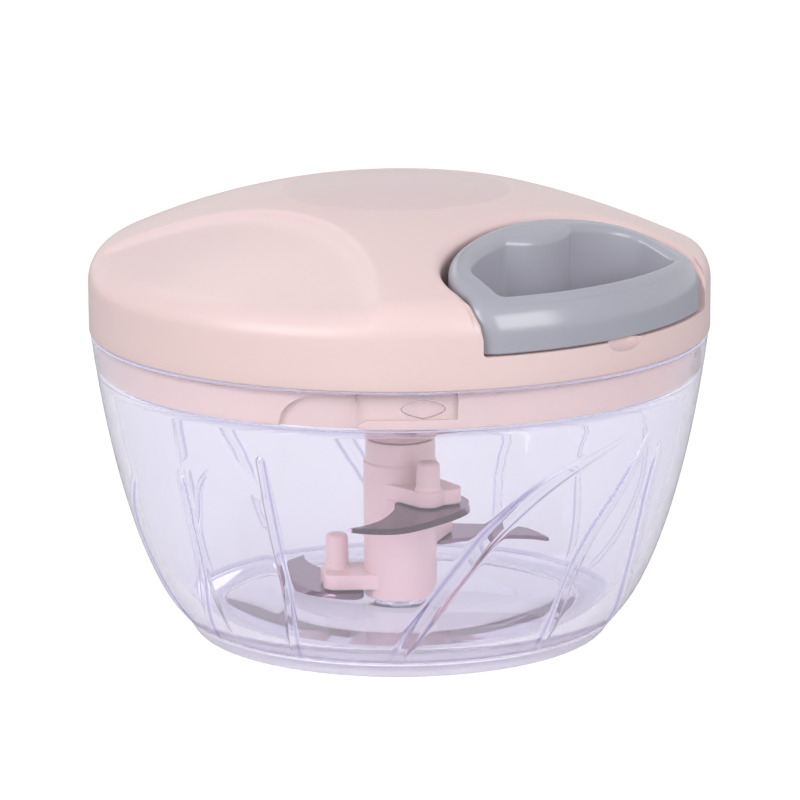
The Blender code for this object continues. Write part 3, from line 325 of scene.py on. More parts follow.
def mouldedPlastic(name, look):
    # Satin moulded plastic: faint flow marks in the colour, an eroded mould skin, and slow waves from shrinkage.
    material, tree, shader = emptyMaterial(name)
    vector = objectCoords(tree)
    colour = rampNode(tree, noiseNode(tree, vector, look["flowScale"]), look["colour"], look["paler"])
    if "discRadius" in look:
        # The crown disc, in painted shade: a darker, cooler pink around the lid's axis for the dimmer light on its
        # flat top.
        flat = addNode(tree, "VectorMath", {0: vector, 1: (1.0, 1.0, 0.0)}, operation="MULTIPLY")
        reach = addNode(tree, "VectorMath", {0: flat.outputs["Vector"]}, operation="LENGTH")
        outwards = mathNode(tree, "DIVIDE", reach.outputs["Value"], look["discRadius"])
        share = rampNode(tree, outwards, (1.0, 1.0, 1.0), (0.0, 0.0, 0.0), look["discEdge"], 1.0)
        colour = mixColour(tree, share, colour, look["discShadeColour"])
    skin = noiseNode(tree, vector, look["skinScale"], 2.0)
    waves = noiseNode(tree, vector, look["waveScale"], 1.0)
    slow = bumpNode(tree, waves, look["waveBump"], look["waveHeight"])
    setInputs(tree, shader, {
        "Base Color": colour, "Roughness": rangeNode(tree, skin, *look["roughness"]),
        "Normal": bumpNode(tree, skin, look["skinBump"], look["skinHeight"], Normal=slow),
        "Specular IOR Level": look["specular"], "Subsurface Weight": look["glow"],
        "Subsurface Radius": look["glowRadius"], "Subsurface Scale": 1.0,
    })
    return material


def clearPlastic(name, look):
    # Clear plastic: tint from the depth of the material, slow waves in its skin and a few faint scuffs, and painted
    # shade: a darker lavender on rib flanks and rounded edges for the dark lines that refraction draws there. Light
    # that shines through to the pieces inside, and light that has bounced around in the wall for long, passes
    # straight.
    material, tree, shader = emptyMaterial(name)
    vector = objectCoords(tree)
    path = addNode(tree, "LightPath").outputs
    deep = mathNode(tree, "GREATER_THAN", path["Ray Depth"], look["deepest"])
    mirrored = mathNode(tree, "GREATER_THAN", path["Glossy Depth"], look["mostMirrored"])
    straight = mathNode(tree, "MAXIMUM", path["Is Shadow Ray"], mathNode(tree, "MAXIMUM", deep, mirrored))
    through = addNode(tree, "BsdfTransparent", {"Color": (*look["passed"], 1.0)})
    mix = addNode(tree, "MixShader", {"Fac": straight, 1: shader.outputs["BSDF"], 2: through.outputs["BSDF"]})
    waves = noiseNode(tree, vector, look["waveScale"], 2.0)
    tint = rampNode(tree, waves, look["tint"], tuple(min(1.0, value + 0.005) for value in look["tint"]))
    # Painted shade: a darker lavender where the mesh marks rib flanks and rounded edges.
    edge = addNode(tree, "Attribute", attribute_name="paintedEdgeLines")
    share = mathNode(tree, "MULTIPLY", edge.outputs["Fac"], look["paintedEdgeShare"])
    scuffs = noiseNode(tree, vector, look["scuffScale"], 4.0)
    setInputs(tree, shader, {
        "Transmission Weight": look["clear"], "IOR": look["indexOfRefraction"],
        "Base Color": mixColour(tree, share, tint, look["paintedEdgeShade"]),
        "Roughness": rangeNode(tree, scuffs, *look["roughness"]),
        "Normal": bumpNode(tree, waves, look["waveBump"], look["waveHeight"]),
    })
    depth = addNode(tree, "VolumeAbsorption", {"Color": (*look["absorbed"], 1.0), "Density": look["density"]})
    setInputs(tree, tree.nodes["Material Output"],
              {"Surface": mix.outputs["Shader"], "Volume": depth.outputs["Volume"]})
    return material


def steel(name, colour, roughness, grainScale, grainBump):
    # Rolled steel: grain along one direction in the roughness and the bump.
    material, tree, shader = emptyMaterial(name)
    grain = noiseNode(tree, objectCoords(tree, grainScale), 1.0, 4.0)
    darker = tuple(value * 0.94 for value in colour)
    setInputs(tree, shader, {
        "Metallic": 1.0, "Base Color": rampNode(tree, grain, darker, colour),
        "Roughness": rangeNode(tree, grain, *roughness), "Normal": bumpNode(tree, grain, grainBump, 0.00002),
    })
    return material


def braidedCord(name, look):
    # Nylon cord: two crossing waves for the strands, with painted shade: the colour is darker in the hollows between
    # strands.
    material, tree, shader = emptyMaterial(name)
    heights = []
    for side in (look["strandScale"], -look["strandScale"]):
        vector = objectCoords(tree, (look["strandScale"], side, side))
        wave = addNode(tree, "TexWave", {"Scale": 1.0, "Vector": vector}, wave_type="BANDS",
                       bands_direction="DIAGONAL")
        heights.append(wave.outputs["Fac"])
    cross = mathNode(tree, "MAXIMUM", *heights)
    setInputs(tree, shader, {
        "Base Color": rampNode(tree, cross, look["hollow"], look["raised"]),
        "Roughness": rangeNode(tree, cross, *look["roughness"]),
        "Normal": bumpNode(tree, cross, look["bump"], look["height"]),
    })
    return material


# Darker, deeper copies of the lid's pink: painted shade for pieces under the lid and behind the clear wall.
def shadedPinkPlastic(name, colour, paler):
    return mouldedPlastic(name, lidPlasticLook | {"colour": colour, "paler": paler})


lidPlastic = mouldedPlastic("lidPlastic", lidPlasticLook | crownDiscShadeLook)
# Painted shade: the collar, the column and the hub are the lid's pink made darker for the shadow they sit in.
basePlasticShaded = shadedPinkPlastic("basePlasticShaded", (0.69, 0.525, 0.465), (0.71, 0.545, 0.485))
shaftPlasticShaded = shadedPinkPlastic("shaftPlasticShaded", (0.76, 0.55, 0.53), (0.78, 0.57, 0.55))
hubPlasticShaded = shadedPinkPlastic("hubPlasticShaded", (0.56, 0.33, 0.33), (0.59, 0.36, 0.36))
handlePlastic = mouldedPlastic("handlePlastic", handlePlasticLook)
acetal = mouldedPlastic("acetal", acetalLook)
bowlPlastic = clearPlastic("bowlPlastic", clearPlasticLook)
footPlastic = clearPlastic("footPlastic", footPlasticLook)
# Painted reflection: the blades' dark pinkish purple stands in for the pink lid and lavender bowl mirrored in them.
bladeSteelPaintedReflection = steel("bladeSteelPaintedReflection", (0.28, 0.175, 0.235), (0.14, 0.24), (900.0, 60.0, 900.0), 0.12)
turnedSteel = steel("turnedSteel", (0.6, 0.6, 0.62), (0.22, 0.34), (200.0, 200.0, 2400.0), 0.15)
springSteel = steel("springSteel", (0.36, 0.37, 0.42), (0.28, 0.4), (120.0, 120.0, 1800.0), 0.1)
cordNylon = braidedCord("cordNylon", cordLook)
print("materials made")


# The lid's outer surface, which the handle's top and the recess follow

lidBoxLow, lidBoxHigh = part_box("lid_shell")
handleBoxLow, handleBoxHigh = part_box("pull_handle")
lidShape = millimetres(
    wall=2.0, domeRadius=140.0, edgeRound=8.0, rimRound=0.5, discRadius=22.3, discDepth=0.3, discEdge=1.1,
    scoopRadius=55.0, scoopReach=29.0, scoopStep=1.5, scoopStepRun=1.0, scoopBed=0.8, scoopSlope=17.0,
    scoopCrest=0.4, fadeLow=68.0, fadeHigh=83.0, spacing=0.7, hollowSpacing=5.0, eyeletHole=2.9,
) | {"radius": lidBoxHigh.y, "edgeZ": lidBoxLow.z, "topZ": lidBoxHigh.z + 0.3 * mm, "sides": 360, "hollowSides": 96}
domeCentreZ = lidShape["topZ"] - lidShape["domeRadius"]
edgeCentreR = lidShape["radius"] - lidShape["edgeRound"]
edgeCentreZ = domeCentreZ + sqrt((lidShape["domeRadius"] - lidShape["edgeRound"]) ** 2 - edgeCentreR**2)
cordZ = 73.5 * mm


def lidCurves(inset):
    # The radii of the dome and of its rounded edge at a depth under the surface, and where the two meet.
    ball = lidShape["domeRadius"] - inset
    return ball, lidShape["edgeRound"] - inset, edgeCentreR * ball / (lidShape["domeRadius"] - lidShape["edgeRound"])


def lidHeight(radius, inset=0.0):
    ball, edge, meet = lidCurves(inset)
    if radius <= meet:
        return domeCentreZ + sqrt(ball**2 - radius**2)
    return edgeCentreZ + sqrt(max(edge**2 - (radius - edgeCentreR) ** 2, 0.0))


def scoopDrop(x, y, z):
    # A finger scoop with a rounded crest: how far it presses the surface down.
    s = lidShape
    inside = s["scoopRadius"] - math.hypot(x, abs(y) - s["scoopReach"] - s["scoopRadius"])
    inside = 0.5 * (inside + math.hypot(inside, s["scoopCrest"]))
    step = s["scoopStep"] * (1.0 - math.exp(-inside / s["scoopStepRun"]))
    bed = s["scoopBed"] * sin(0.5 * pi * min(inside / s["scoopSlope"], 1.0))
    return (step + bed) * smoothStep(z, s["fadeLow"], s["fadeHigh"])


def discDrop(radius):
    s = lidShape
    return s["discDepth"] * (1.0 - smoothStep(radius, s["discRadius"], s["discRadius"] + s["discEdge"]))


def surfaceHeight(point):
    z = lidHeight(min(math.hypot(point[0], point[1]), lidShape["radius"]))
    return z - scoopDrop(point[0], point[1], z)


def lidRings(inset):
    # The surface itself in detail, or a plain one at a depth under it for the hollow.
    s = lidShape
    detail = inset == 0.0
    spacing, sides = pick(s, "spacing sides" if detail else "hollowSpacing hollowSides")
    floorZ = s["edgeZ"] - inset
    ball, edge, meet = lidCurves(inset)
    radii = list(np.arange(0.0, meet, spacing))
    if detail:
        radii += [s["discRadius"] + s["discEdge"] * t for t in (0.0, 0.25, 0.5, 0.75, 1.0)]
    profile = [(radius, lidHeight(radius, inset)) for radius in sorted(set(radii))]
    start = math.acos((meet - edgeCentreR) / edge)
    steps = 20 if detail else 8
    for i in range(steps + 1):
        angle = start * (1 - i / steps)
        profile.append((edgeCentreR + edge * cos(angle), edgeCentreZ + edge * sin(angle)))
    outer = s["radius"] - inset
    low = s["rimRound"] if detail else 0.0
    if detail:
        profile += [(outer, floorZ + low + (edgeCentreZ - floorZ - low) * t) for t in (0.75, 0.5, 0.25, 0.0)]
        profile += [(outer - low * (1 - cos(a)), floorZ + low * (1 - sin(a))) for a in (0.5, 1.05)]
    profile.append((outer - low, floorZ))
    rings = []
    for radius, z in profile:
        ring = circleRing(radius, z, sides)
        for point in ring:
            point.z -= scoopDrop(point.x, point.y, z)
            if detail and z > edgeCentreZ:
                point.z -= discDrop(radius)
        rings.append(ring)
    return rings


# Handle outline, seen from above, and the recess that follows it

handleShape = millimetres(
    sink=0.15, rearBow=68.0, rearHalf=14.5, sideX=47.5, sideY=29.6, cornerRound=3.4, edgeRound=2.2,
    innerEdgeRound=1.4, lowRound=0.25, frontWall=4.6, rearWall=5.5, bossHalf=9.3, bossDepth=3.5, wellRadius=2.6,
    wellX=36.5, wellTopZ=77.5, cordHole=1.2,
) | {
    "bottomZ": handleBoxLow.z, "frontRadius": lidShape["radius"] - 0.4 * mm, "rearX": handleBoxLow.x + 0.4 * mm,
    "cornerY": handleBoxHigh.y,
}
gripShape = millimetres(rearBow=90.0, rearHalf=13.5, sideX=44.9, sideY=23.7, cornerY=24.4, cornerRound=0.9) | {
    "rearX": handleShape["rearX"] + handleShape["rearWall"],
    "frontRadius": handleShape["frontRadius"] - handleShape["frontWall"],
}
recessShape = millimetres(
    rearHalf=17.0, sideX=46.5, sideY=30.6, cornerRound=2.6, runOut=3.6, runOutWidth=2.0, wall=1.8, flare=1.9,
    floorRound=0.8, notchHalf=4.6, notchDrop=2.2, notchDepth=2.2,
) | {
    "rearX": handleBoxLow.x - 1.0 * mm, "cornerY": handleBoxHigh.y + 0.6 * mm, "floorZ": handleBoxLow.z - 0.3 * mm,
    "rearBow": handleShape["rearBow"], "frontRadius": handleShape["frontRadius"], "flareSteps": 10, "flareSpan": 84.0,
}


def loopOutline(s, bump=0.0):
    names = "rearBow rearHalf sideY frontRadius cornerY cornerRound"
    bow, rearHalf, sideY, radius, cornerY, cornerRound = pick(s, names)

    def rear(y):
        swell = max(1.0 - (y / handleShape["bossHalf"]) ** 2, 0.0)
        return Vector((s["rearX"] + bow - sqrt(bow**2 - y**2) + bump * swell, y))

    cornerX = sqrt(radius**2 - cornerY**2)
    frontEnd = math.degrees(math.asin((cornerY - cornerRound) / radius))
    front = [polar(radius, frontEnd * (i / 16 - 1)).to_2d() for i in range(1, 32)]
    frontStop = polar(radius, frontEnd).to_2d()
    sideEnd = Vector((cornerX - cornerRound, cornerY))
    sideStart = Vector((s["sideX"], sideY))
    arcEnd = rear(rearHalf)
    slope = rearHalf / sqrt(bow**2 - rearHalf**2)
    control = Vector((arcEnd.x + slope * (sideY - arcEnd.y), sideY))
    half = [frontStop] + bezierPoints(frontStop, Vector((cornerX, cornerY)), sideEnd, 8) + [sideEnd]
    half += [sideEnd.lerp(sideStart, t) for t in (0.33, 0.67, 1.0)]
    half += bezierPoints(sideStart, control, arcEnd, 16)
    rearPoints = [rear(rearHalf * (1 - i / 24)) for i in range(49)]
    return front + half + rearPoints + [Vector((point.x, -point.y)) for point in reversed(half)]


def offsetOutline(outline, distance):
    moved = []
    for i, point in enumerate(outline):
        ahead = (outline[(i + 1) % len(outline)] - point).normalized()
        behind = (point - outline[i - 1]).normalized()
        along = (ahead + behind).normalized()
        moved.append(point + distance * Vector((along.y, -along.x)) / max(along.dot(ahead), 0.5))
    return moved


def recessOutline(extra=0.0):
    # Wider than the handle, and it runs out through the lid's skirt.
    s = recessShape
    outline = offsetOutline(loopOutline(s), extra)
    for point in outline:
        if point.x > s["sideX"]:
            point.x += s["runOut"] * min((point.x - s["sideX"]) / s["runOutWidth"], 1.0)
    return outline


def recessCutter():
    s = recessShape
    rings = []
    for up, inwards in quarterArc(s["floorRound"], 3):
        rings.append([(p.x, p.y, s["floorZ"] + up) for p in recessOutline(-inwards)])
    for outwards, down in quarterArc(s["flare"], s["flareSteps"], radians(s["flareSpan"])):
        rings.append([(p.x, p.y, max(surfaceHeight(p) - down, s["floorZ"] + 1.2 * s["floorRound"]))
                      for p in recessOutline(outwards)])
    rings.append([(p.x, p.y, lidShape["topZ"] + 2 * mm) for p in recessOutline(s["flare"] * 1.05)])
    return skinRings(rings)


def makeLid():
    s, r = lidShape, recessShape
    lid = newObject("lidShell", skinRings(lidRings(0.0)))
    hollow = newObject("hollow", skinRings(lidRings(s["wall"])))
    block = newObject("recessBlock", prism(offsetOutline(recessOutline(), r["wall"]), r["floorZ"] - r["wall"],
                                           s["topZ"] + 2 * mm))
    carve(hollow, [block])
    recess = newObject("recessCut", recessCutter())
    ball = [(0.0, -1.0)] + [(cos(a), sin(a)) for a in np.radians(np.arange(-80, 81, 10))] + [(0.0, 1.0)]
    notch = newObject("fingerNotch", turned(ball, 48), (s["radius"], -1.0 * mm, r["floorZ"]))
    notch.data.transform(Matrix.Diagonal((r["notchDepth"], r["notchHalf"], r["notchDrop"], 1.0)))
    eye = rodAlongX("eyeletHole", s["eyeletHole"], -4 * mm, 4 * mm, (r["rearX"], 0.0, cordZ))
    carve(lid, [hollow, recess, notch, eye])
    dress(lid, lidPlastic, "lid_unit", "lid_shell")


def makeHandle():
    s = handleShape
    outer = loopOutline(s)
    inner = loopOutline(gripShape, s["bossDepth"])

    def ring(outwards, share, depth=None):
        # One line of the loop's skin, at a depth under the lid's surface or else at the bottom.
        points = []
        for a, b in zip(outer, inner):
            point = a.lerp(b, share) + (b - a).normalized() * (outwards if share < 0.5 else -outwards)
            z = s["bottomZ"] if depth is None else lidHeight(min(point.length, s["frontRadius"])) - s["sink"] - depth
            points.append(Vector((point.x, point.y, z)))
        return points

    def lowEdge(share):
        return [ring(s["lowRound"], share), [p + Vector((0.0, 0.0, s["lowRound"])) for p in ring(0.0, share)]]

    rings = lowEdge(0.0)
    rings += [ring(outwards, 0.0, down) for outwards, down in quarterArc(s["edgeRound"], 7)]
    rings += [ring(0.0, share, 0.0) for share in (0.4, 0.6)]
    rings += [ring(outwards, 1.0, down) for outwards, down in reversed(quarterArc(s["innerEdgeRound"], 7))]
    rings += reversed(lowEdge(1.0))
    handle = newObject("pullHandle", skinRings(rings, closed=True))
    well = newObject("knotWell", rod(s["wellRadius"], s["bottomZ"] - mm, s["wellTopZ"]), (s["wellX"], 0.0, 0.0))
    hole = rodAlongX("cordHole", s["cordHole"], 0.0, s["wellX"] - s["rearX"] + mm, (s["rearX"] - mm, 0.0, cordZ))
    carve(handle, [well, hole])
    dress(handle, handlePlastic, "handle_unit", "pull_handle")


# Collar and plate under the lid. Angles are in degrees.

baseShape = millimetres(
    collarRadius=59.3, collarWall=2.3, collarBottomZ=53.9, plateBottomZ=55.4, plateThickness=2.0, lipHeight=1.8,
    bearingWall=2.4, bearingDrop=3.4, hubRadius=7.4, runningGap=0.4, seatGap=0.3, edgeRound=0.4, lugLength=8.5,
    lugHeight=3.9, lugInside=1.2, lugOutside=0.8, lugZ=58.2, channelDepth=1.2, archDrop=6.3, channelTopGap=0.5,
    screwReach=46.0, screwHole=1.5,
) | dict(sides=288, lugAngle=-40.8, channelStart=-26.9, channelEnd=6.4, entryEnd=-12.2, archSpan=9.0,
         ledgeRound=2.4, screwAngles=(60.0, 120.0, 240.0, 300.0))
lugAngles = [baseShape["lugAngle"] + 90.0 * i for i in range(4)]


def sectorBlock(inner, outer, start, end, lowAt, topAt, steps):
    rings = []
    for i in range(steps + 1):
        angle = start + (end - start) * i / steps
        low, high = lowAt(angle), topAt(angle)
        corners = ((inner, low), (outer, low), (outer, high), (inner, high))
        rings.append([polar(radius, angle, z) for radius, z in corners])
    return skinRings(rings)


def makeLidBase():
    s = baseShape
    collar, low, plate, small = pick(s, "collarRadius collarBottomZ plateBottomZ edgeRound")
    flange, flangeRadius = lidShape["edgeZ"] + s["seatGap"], lidShape["radius"] - lidShape["wall"] - s["seatGap"]
    lip = flange + s["lipHeight"]
    inner = collar - s["collarWall"]
    hole = s["hubRadius"] + s["runningGap"]
    bearing = hole + s["bearingWall"]
    bearingLow = plate - s["bearingDrop"]
    plateTop = plate + s["plateThickness"]
    corners = [
        (hole, plateTop, 0.0), (hole, bearingLow, small), (bearing, bearingLow, small), (bearing, plate, small),
        (inner, plate, small), (inner, low, small), (collar, low, small), (collar, flange, 0.0),
        (flangeRadius, flange, 0.0), (flangeRadius, lip, small), (inner, lip, small), (inner, plateTop, 0.0),
    ]
    base = newObject("lidBase", turned(roundedProfile(corners, 4), s["sides"], closed=True))
    cutters = []
    floor = collar - s["channelDepth"]
    outside = collar + mm
    below = low - mm
    ledgeTop = s["lugZ"] - 0.5 * s["lugHeight"] - s["seatGap"]
    for centre in lugAngles:
        first = centre + s["channelStart"]
        ledge = centre + s["entryEnd"]

        def roof(angle, first=first):
            # The channel begins with a quarter arch.
            into = min((angle - first) / s["archSpan"], 1.0)
            drop = s["archDrop"] * (1.0 - sqrt(max(1.0 - (1.0 - into) ** 2, 0.0)))
            return s["lugZ"] + 0.5 * s["lugHeight"] + s["channelTopGap"] - drop

        def sill(angle, ledge=ledge):
            # The ledge under the lug begins with a rounded end.
            into = min(max((angle - ledge) / s["ledgeRound"], 0.0), 1.0)
            return below + (ledgeTop - below) * sqrt(1.0 - (1.0 - into) ** 2)

        entry = sectorBlock(floor, outside, first, ledge, lambda angle: below, roof, 24)
        track = sectorBlock(floor, outside, ledge, centre + s["channelEnd"], sill, roof, 48)
        cutters += [newObject("entry", entry), newObject("track", track)]
    for angle in s["screwAngles"]:
        cutters.append(newObject("screwHole", rod(s["screwHole"], plate - mm, plateTop + mm),
                                 polar(s["screwReach"], angle)))
    carve(base, cutters)
    dress(base, basePlasticShaded, "lid_unit", "lid_base")


# Bowl. Its wall's grid follows the ribs, so that their edges are crisp.

bowlShape = millimetres(
    rimRadius=61.9, footRadius=43.9, footZ=3.7, lowHandle=(51.2, 10.0), highHandle=(58.5, 33.0), wall=2.4,
    floorTopZ=4.6, floorRadius=37.5, floorRows=(32.0, 24.0, 16.0, 9.0), spigotRadius=36.6, spigotZ=1.4,
    bossRadius=4.6, bossTopZ=6.0, pinHole=2.5, pinRootZ=2.9, socketRadius=59.6, socketRows=(59.5, 57.5, 55.5),
    ledgeZ=53.6, rimRound=0.5, innerRimRound=0.35, ribTopZ=51.5, cornerTopZ=17.0, cornerRun=6.3,
) | dict(rimZ=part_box("bowl")[1].z, rows=100, innerRows=26, columnSpan=1.3, edgeMark=0.7)
petalShape = millimetres(topZ=46.5, dropRight=9.0, dropLeft=3.0, topFade=2.2, rise=0.28) | dict(
    middle=-80.5, halfWidth=10.5, sideFade=0.82)
# Ribs on one half of the bowl: half width, rise and length of the fading ends, then spots of (degrees, height), in mm
wallRibs = (
    (0.9, 0.45, 4.0, ((-110.0, 5.0), (-115.0, 15.0), (-117.0, 27.0), (-109.0, 38.0))),
    (0.8, 0.5, 3.0, ((-99.0, 4.2), (-91.5, 20.6), (-90.6, 33.0), (-91.5, 42.0))),
    (0.45, 0.35, 3.0, ((-89.0, 31.0), (-88.0, 34.0), (-86.5, 39.0), (-83.0, 44.0))),
    (0.8, 0.5, 0.6, ((-71.8, 4.2), (-69.5, 17.4), (-70.2, 30.2), (-71.5, 47.5))),
    (1.5, 0.6, 12.0, ((-46.0, 5.0), (-33.1, 23.9), (-25.3, 33.8), (-13.5, 42.7), (7.0, 50.0))),
    (1.2, 0.55, 8.0, ((-8.5, 5.0), (-7.0, 19.6), (-3.5, 29.0), (3.0, 38.0), (10.0, 49.0))),
    (1.4, 0.5, 5.0, ((21.6, 4.2), (15.0, 16.8), (12.6, 33.0), (14.0, 45.0))),
)
ribTracks = [smoothRoute([(degrees, z * mm) for degrees, z in spots], 12) for *_, spots in wallRibs]
ribSide = ((1.6, 0.0), (1.4, 0.03), (1.22, 0.16), (1.07, 0.42), (0.92, 0.72), (0.72, 0.94), (0.45, 1.0))
ribProfile = [(-share, lift) for share, lift in ribSide] + [(0.0, 0.95)] + list(reversed(ribSide))


def bowlCurve(t):
    s = bowlShape
    spots = (s["footRadius"], s["footZ"]), s["lowHandle"], s["highHandle"], (s["rimRadius"], s["rimZ"])
    a, b, c, d = map(np.array, spots)
    return a * (1 - t) ** 3 + 3 * b * t * (1 - t) ** 2 + 3 * c * t * t * (1 - t) + d * t**3


bowlSamples = np.array([bowlCurve(t) for t in np.linspace(0.0, 1.0, 400)])


def bowlRadius(z):
    return float(np.interp(z, bowlSamples[:, 1], bowlSamples[:, 0]))


def ribState(index, z):
    # (degrees, half width in degrees, rise in metres) of one rib at a height.
    width, rise, ends = [value * mm for value in wallRibs[index][:3]]
    turns, heights = ribTracks[index].T
    radius = bowlRadius(z)
    step = 0.3 * mm
    degrees, ahead, behind = (float(np.interp(place, heights, turns)) for place in (z, z + step, z - step))
    slope = radians(ahead - behind) * radius / (2 * step)
    lean = min(sqrt(1.0 + slope * slope), 2.6)
    share = smoothStep(min(z - heights[0] + 0.5 * ends, heights[-1] - z), 0.0, ends)
    half = math.degrees(width * lean * (0.35 + 0.65 * share) / radius)
    return degrees, half, rise * share


def petalRise(degrees, z):
    # The soft leaf between the second and the fourth rib, which arches over at its top.
    s = petalShape
    across = (degrees - s["middle"]) / s["halfWidth"]
    top = s["topZ"] - s["dropRight"] * max(across, 0.0) ** 2 - s["dropLeft"] * max(-across, 0.0) ** 2
    inside = 1.0 - smoothStep(z, top - s["topFade"], top)
    sides = 1.0 - smoothStep(abs(across), s["sideFade"], 1.0)
    return s["rise"] * (inside * sides)


def wallRow(z):
    # (degrees, outward shift, painted shade mark for the flanks) along one half of the wall at a height, over the
    # ribs in their order.
    states = [ribState(index, z) for index in range(len(wallRibs))]
    places = [states[-1][0] - 180.0] + [state[0] for state in states] + [states[0][0] + 180.0]
    row = []
    for i, (degrees, half, rise) in enumerate(states):
        before, after = places[i], places[i + 2]
        reach = min(half, 0.3 * (degrees - before), 0.3 * (after - degrees))
        full = wallRibs[i][1] * mm
        for share, lift in ribProfile:
            # The third value marks the flanks for painted shade, strongest halfway up each flank.
            row.append((degrees + share * reach, lift * rise, 4.0 * lift * (1.0 - lift) * rise / full))
        nextHalf = min(states[i + 1 - len(states)][1], 0.3 * (after - degrees))
        start = degrees + ribProfile[-1][0] * reach
        end = after + ribProfile[0][0] * nextHalf
        row += [(start + (end - start) * k / columnCounts[i], 0.0, 0.0) for k in range(1, columnCounts[i])]
    return row


def countColumns():
    # How many plain columns lie after each rib, from the widest that its gap becomes on the way up.
    widest = [0.0] * len(wallRibs)
    for z in np.linspace(bowlShape["footZ"], bowlShape["ribTopZ"], 24):
        places = [ribState(index, z)[0] for index in range(len(wallRibs))]
        places.append(places[0] + 180.0)
        widest = [max(gap, after - before) for gap, before, after in zip(widest, places, places[1:])]
    return [math.ceil(gap / bowlShape["columnSpan"]) + 1 for gap in widest]


columnCounts = countColumns()


def lugBlock(centre):
    s = baseShape
    seat = s["collarRadius"] + s["seatGap"]
    inner = seat - s["lugInside"]
    halfAngle = math.degrees(0.5 * s["lugLength"] / s["collarRadius"])
    rings = []
    for radius, size in ((inner, 0.82), (inner + 0.12 * mm, 0.92), (inner + 0.35 * mm, 0.98),
                         (inner + 0.6 * mm, 1.0), (seat + s["lugOutside"], 1.0)):
        ring = []
        for i in range(48):
            turn = 2.0 * pi * i / 48
            spread = cos(turn) * size
            rise = sin(turn) * (1.0 - 0.3 * abs(spread)) * size
            ring.append(polar(radius, centre + halfAngle * spread, s["lugZ"] + 0.5 * s["lugHeight"] * rise))
        rings.append(ring)
    return skinRings(rings)


def makeBowl():
    # From the pole under the floor along the outer wall to the rim, and down inside to the pole in the pin's hole.
    s = bowlShape
    rings, marks = [[(0.0, 0.0, s["spigotZ"])]], [0.0]

    def addRings(places, ribbed=False, mark=0.0):
        for radius, z in places:
            row = wallRow(min(z, s["ribTopZ"]))
            ring = []
            for half in (0.0, 180.0):
                for degrees, rise, edge in row:
                    lift = rise + petalRise(degrees, z) if ribbed else 0.0
                    ring.append(polar(radius + lift, degrees + half, z))
                    marks.append(max(mark, edge) if ribbed else mark)
            rings.append(ring)

    foot, spigot, rimZ, socket, ledge, mark = pick(s, "footZ spigotRadius rimZ socketRadius ledgeZ edgeMark")
    floor, floorEdge, boss, bossTop, pin = pick(s, "floorTopZ floorRadius bossRadius bossTopZ pinHole")
    addRings([(radius, s["spigotZ"]) for radius in (12 * mm, 24 * mm, spigot - 0.5 * mm)])
    addRings([(spigot, s["spigotZ"] + 0.4 * mm), (spigot, foot), (s["footRadius"] - 0.8 * mm, foot)])
    wall = [(bowlRadius(z), z) for z in np.linspace(foot, s["ribTopZ"], s["rows"])]
    addRings(wall[:2], True, mark)
    addRings(wall[2:], True)
    addRings([(bowlRadius(z), z) for z in np.linspace(s["ribTopZ"], rimZ - s["rimRound"], 9)[1:]])
    addRings([(s["rimRadius"] - inwards, rimZ - down) for inwards, down in quarterArc(s["rimRound"], 6)[1:]],
             mark=mark)
    addRings([(socket + out, rimZ - down) for out, down in reversed(quarterArc(s["innerRimRound"], 4))])
    addRings([(socket, z) for z in s["socketRows"] + (ledge + 0.3 * mm,)])
    inner = bowlRadius(ledge) - s["wall"]
    addRings([(socket - 0.3 * mm, ledge), (inner + 0.1 * mm, ledge - 0.02 * mm), (inner, ledge - 0.12 * mm)],
             mark=mark)
    rows = np.linspace(ledge - 1.5 * mm, s["cornerTopZ"], s["innerRows"])
    addRings([(bowlRadius(z) - s["wall"], z) for z in rows])
    cornerTop = Vector((bowlRadius(s["cornerTopZ"]) - s["wall"], s["cornerTopZ"]))
    control = Vector((floorEdge + s["cornerRun"], floor))
    addRings(bezierPoints(cornerTop, control, Vector((floorEdge, floor)), 18))
    addRings([(radius, floor) for radius in (floorEdge,) + s["floorRows"] + (boss + 1.0 * mm,)])
    addRings([(boss + 0.3 * mm, floor + 0.2 * mm), (boss, floor + 0.7 * mm), (boss, bossTop - 0.4 * mm),
              (boss - 0.4 * mm, bossTop), (pin + 0.3 * mm, bossTop), (pin, bossTop - 0.3 * mm), (pin, s["pinRootZ"])])
    rings.append([(0.0, 0.0, s["pinRootZ"])])
    marks.append(0.0)
    bowl = newObject("clearBowl", skinRings(rings))
    # The marks lay painted shade, a darker lavender, on rib flanks, the rim, the ledge and the bottom of the wall.
    bowl.data.attributes.new("paintedEdgeLines", "FLOAT", "POINT").data.foreach_set("value", marks)
    carve(bowl, [newObject("lug%d" % i, lugBlock(angle)) for i, angle in enumerate(lugAngles)], "UNION")
    dress(bowl, bowlPlastic, "bowl_unit", "bowl", 62.0)


def makeFootRing():
    s = bowlShape
    top = s["footZ"] - 0.3 * mm
    inner = s["spigotRadius"] + 0.3 * mm
    corners = [(inner, top, 0.0), (inner, 0.0, 0.4 * mm), (41.4 * mm, 0.0, 1.0 * mm),
               (s["footRadius"] - 0.3 * mm, top - 0.3 * mm, 0.5 * mm), (s["footRadius"] - 0.9 * mm, top, 0.3 * mm)]
    ring = newObject("footRing", turned(roundedProfile(corners, 6), 256, closed=True))
    dress(ring, footPlastic, "bowl_unit", "foot_ring")


# Blade unit. Spots of the blades' sides are (millimetres from the axis, degrees).

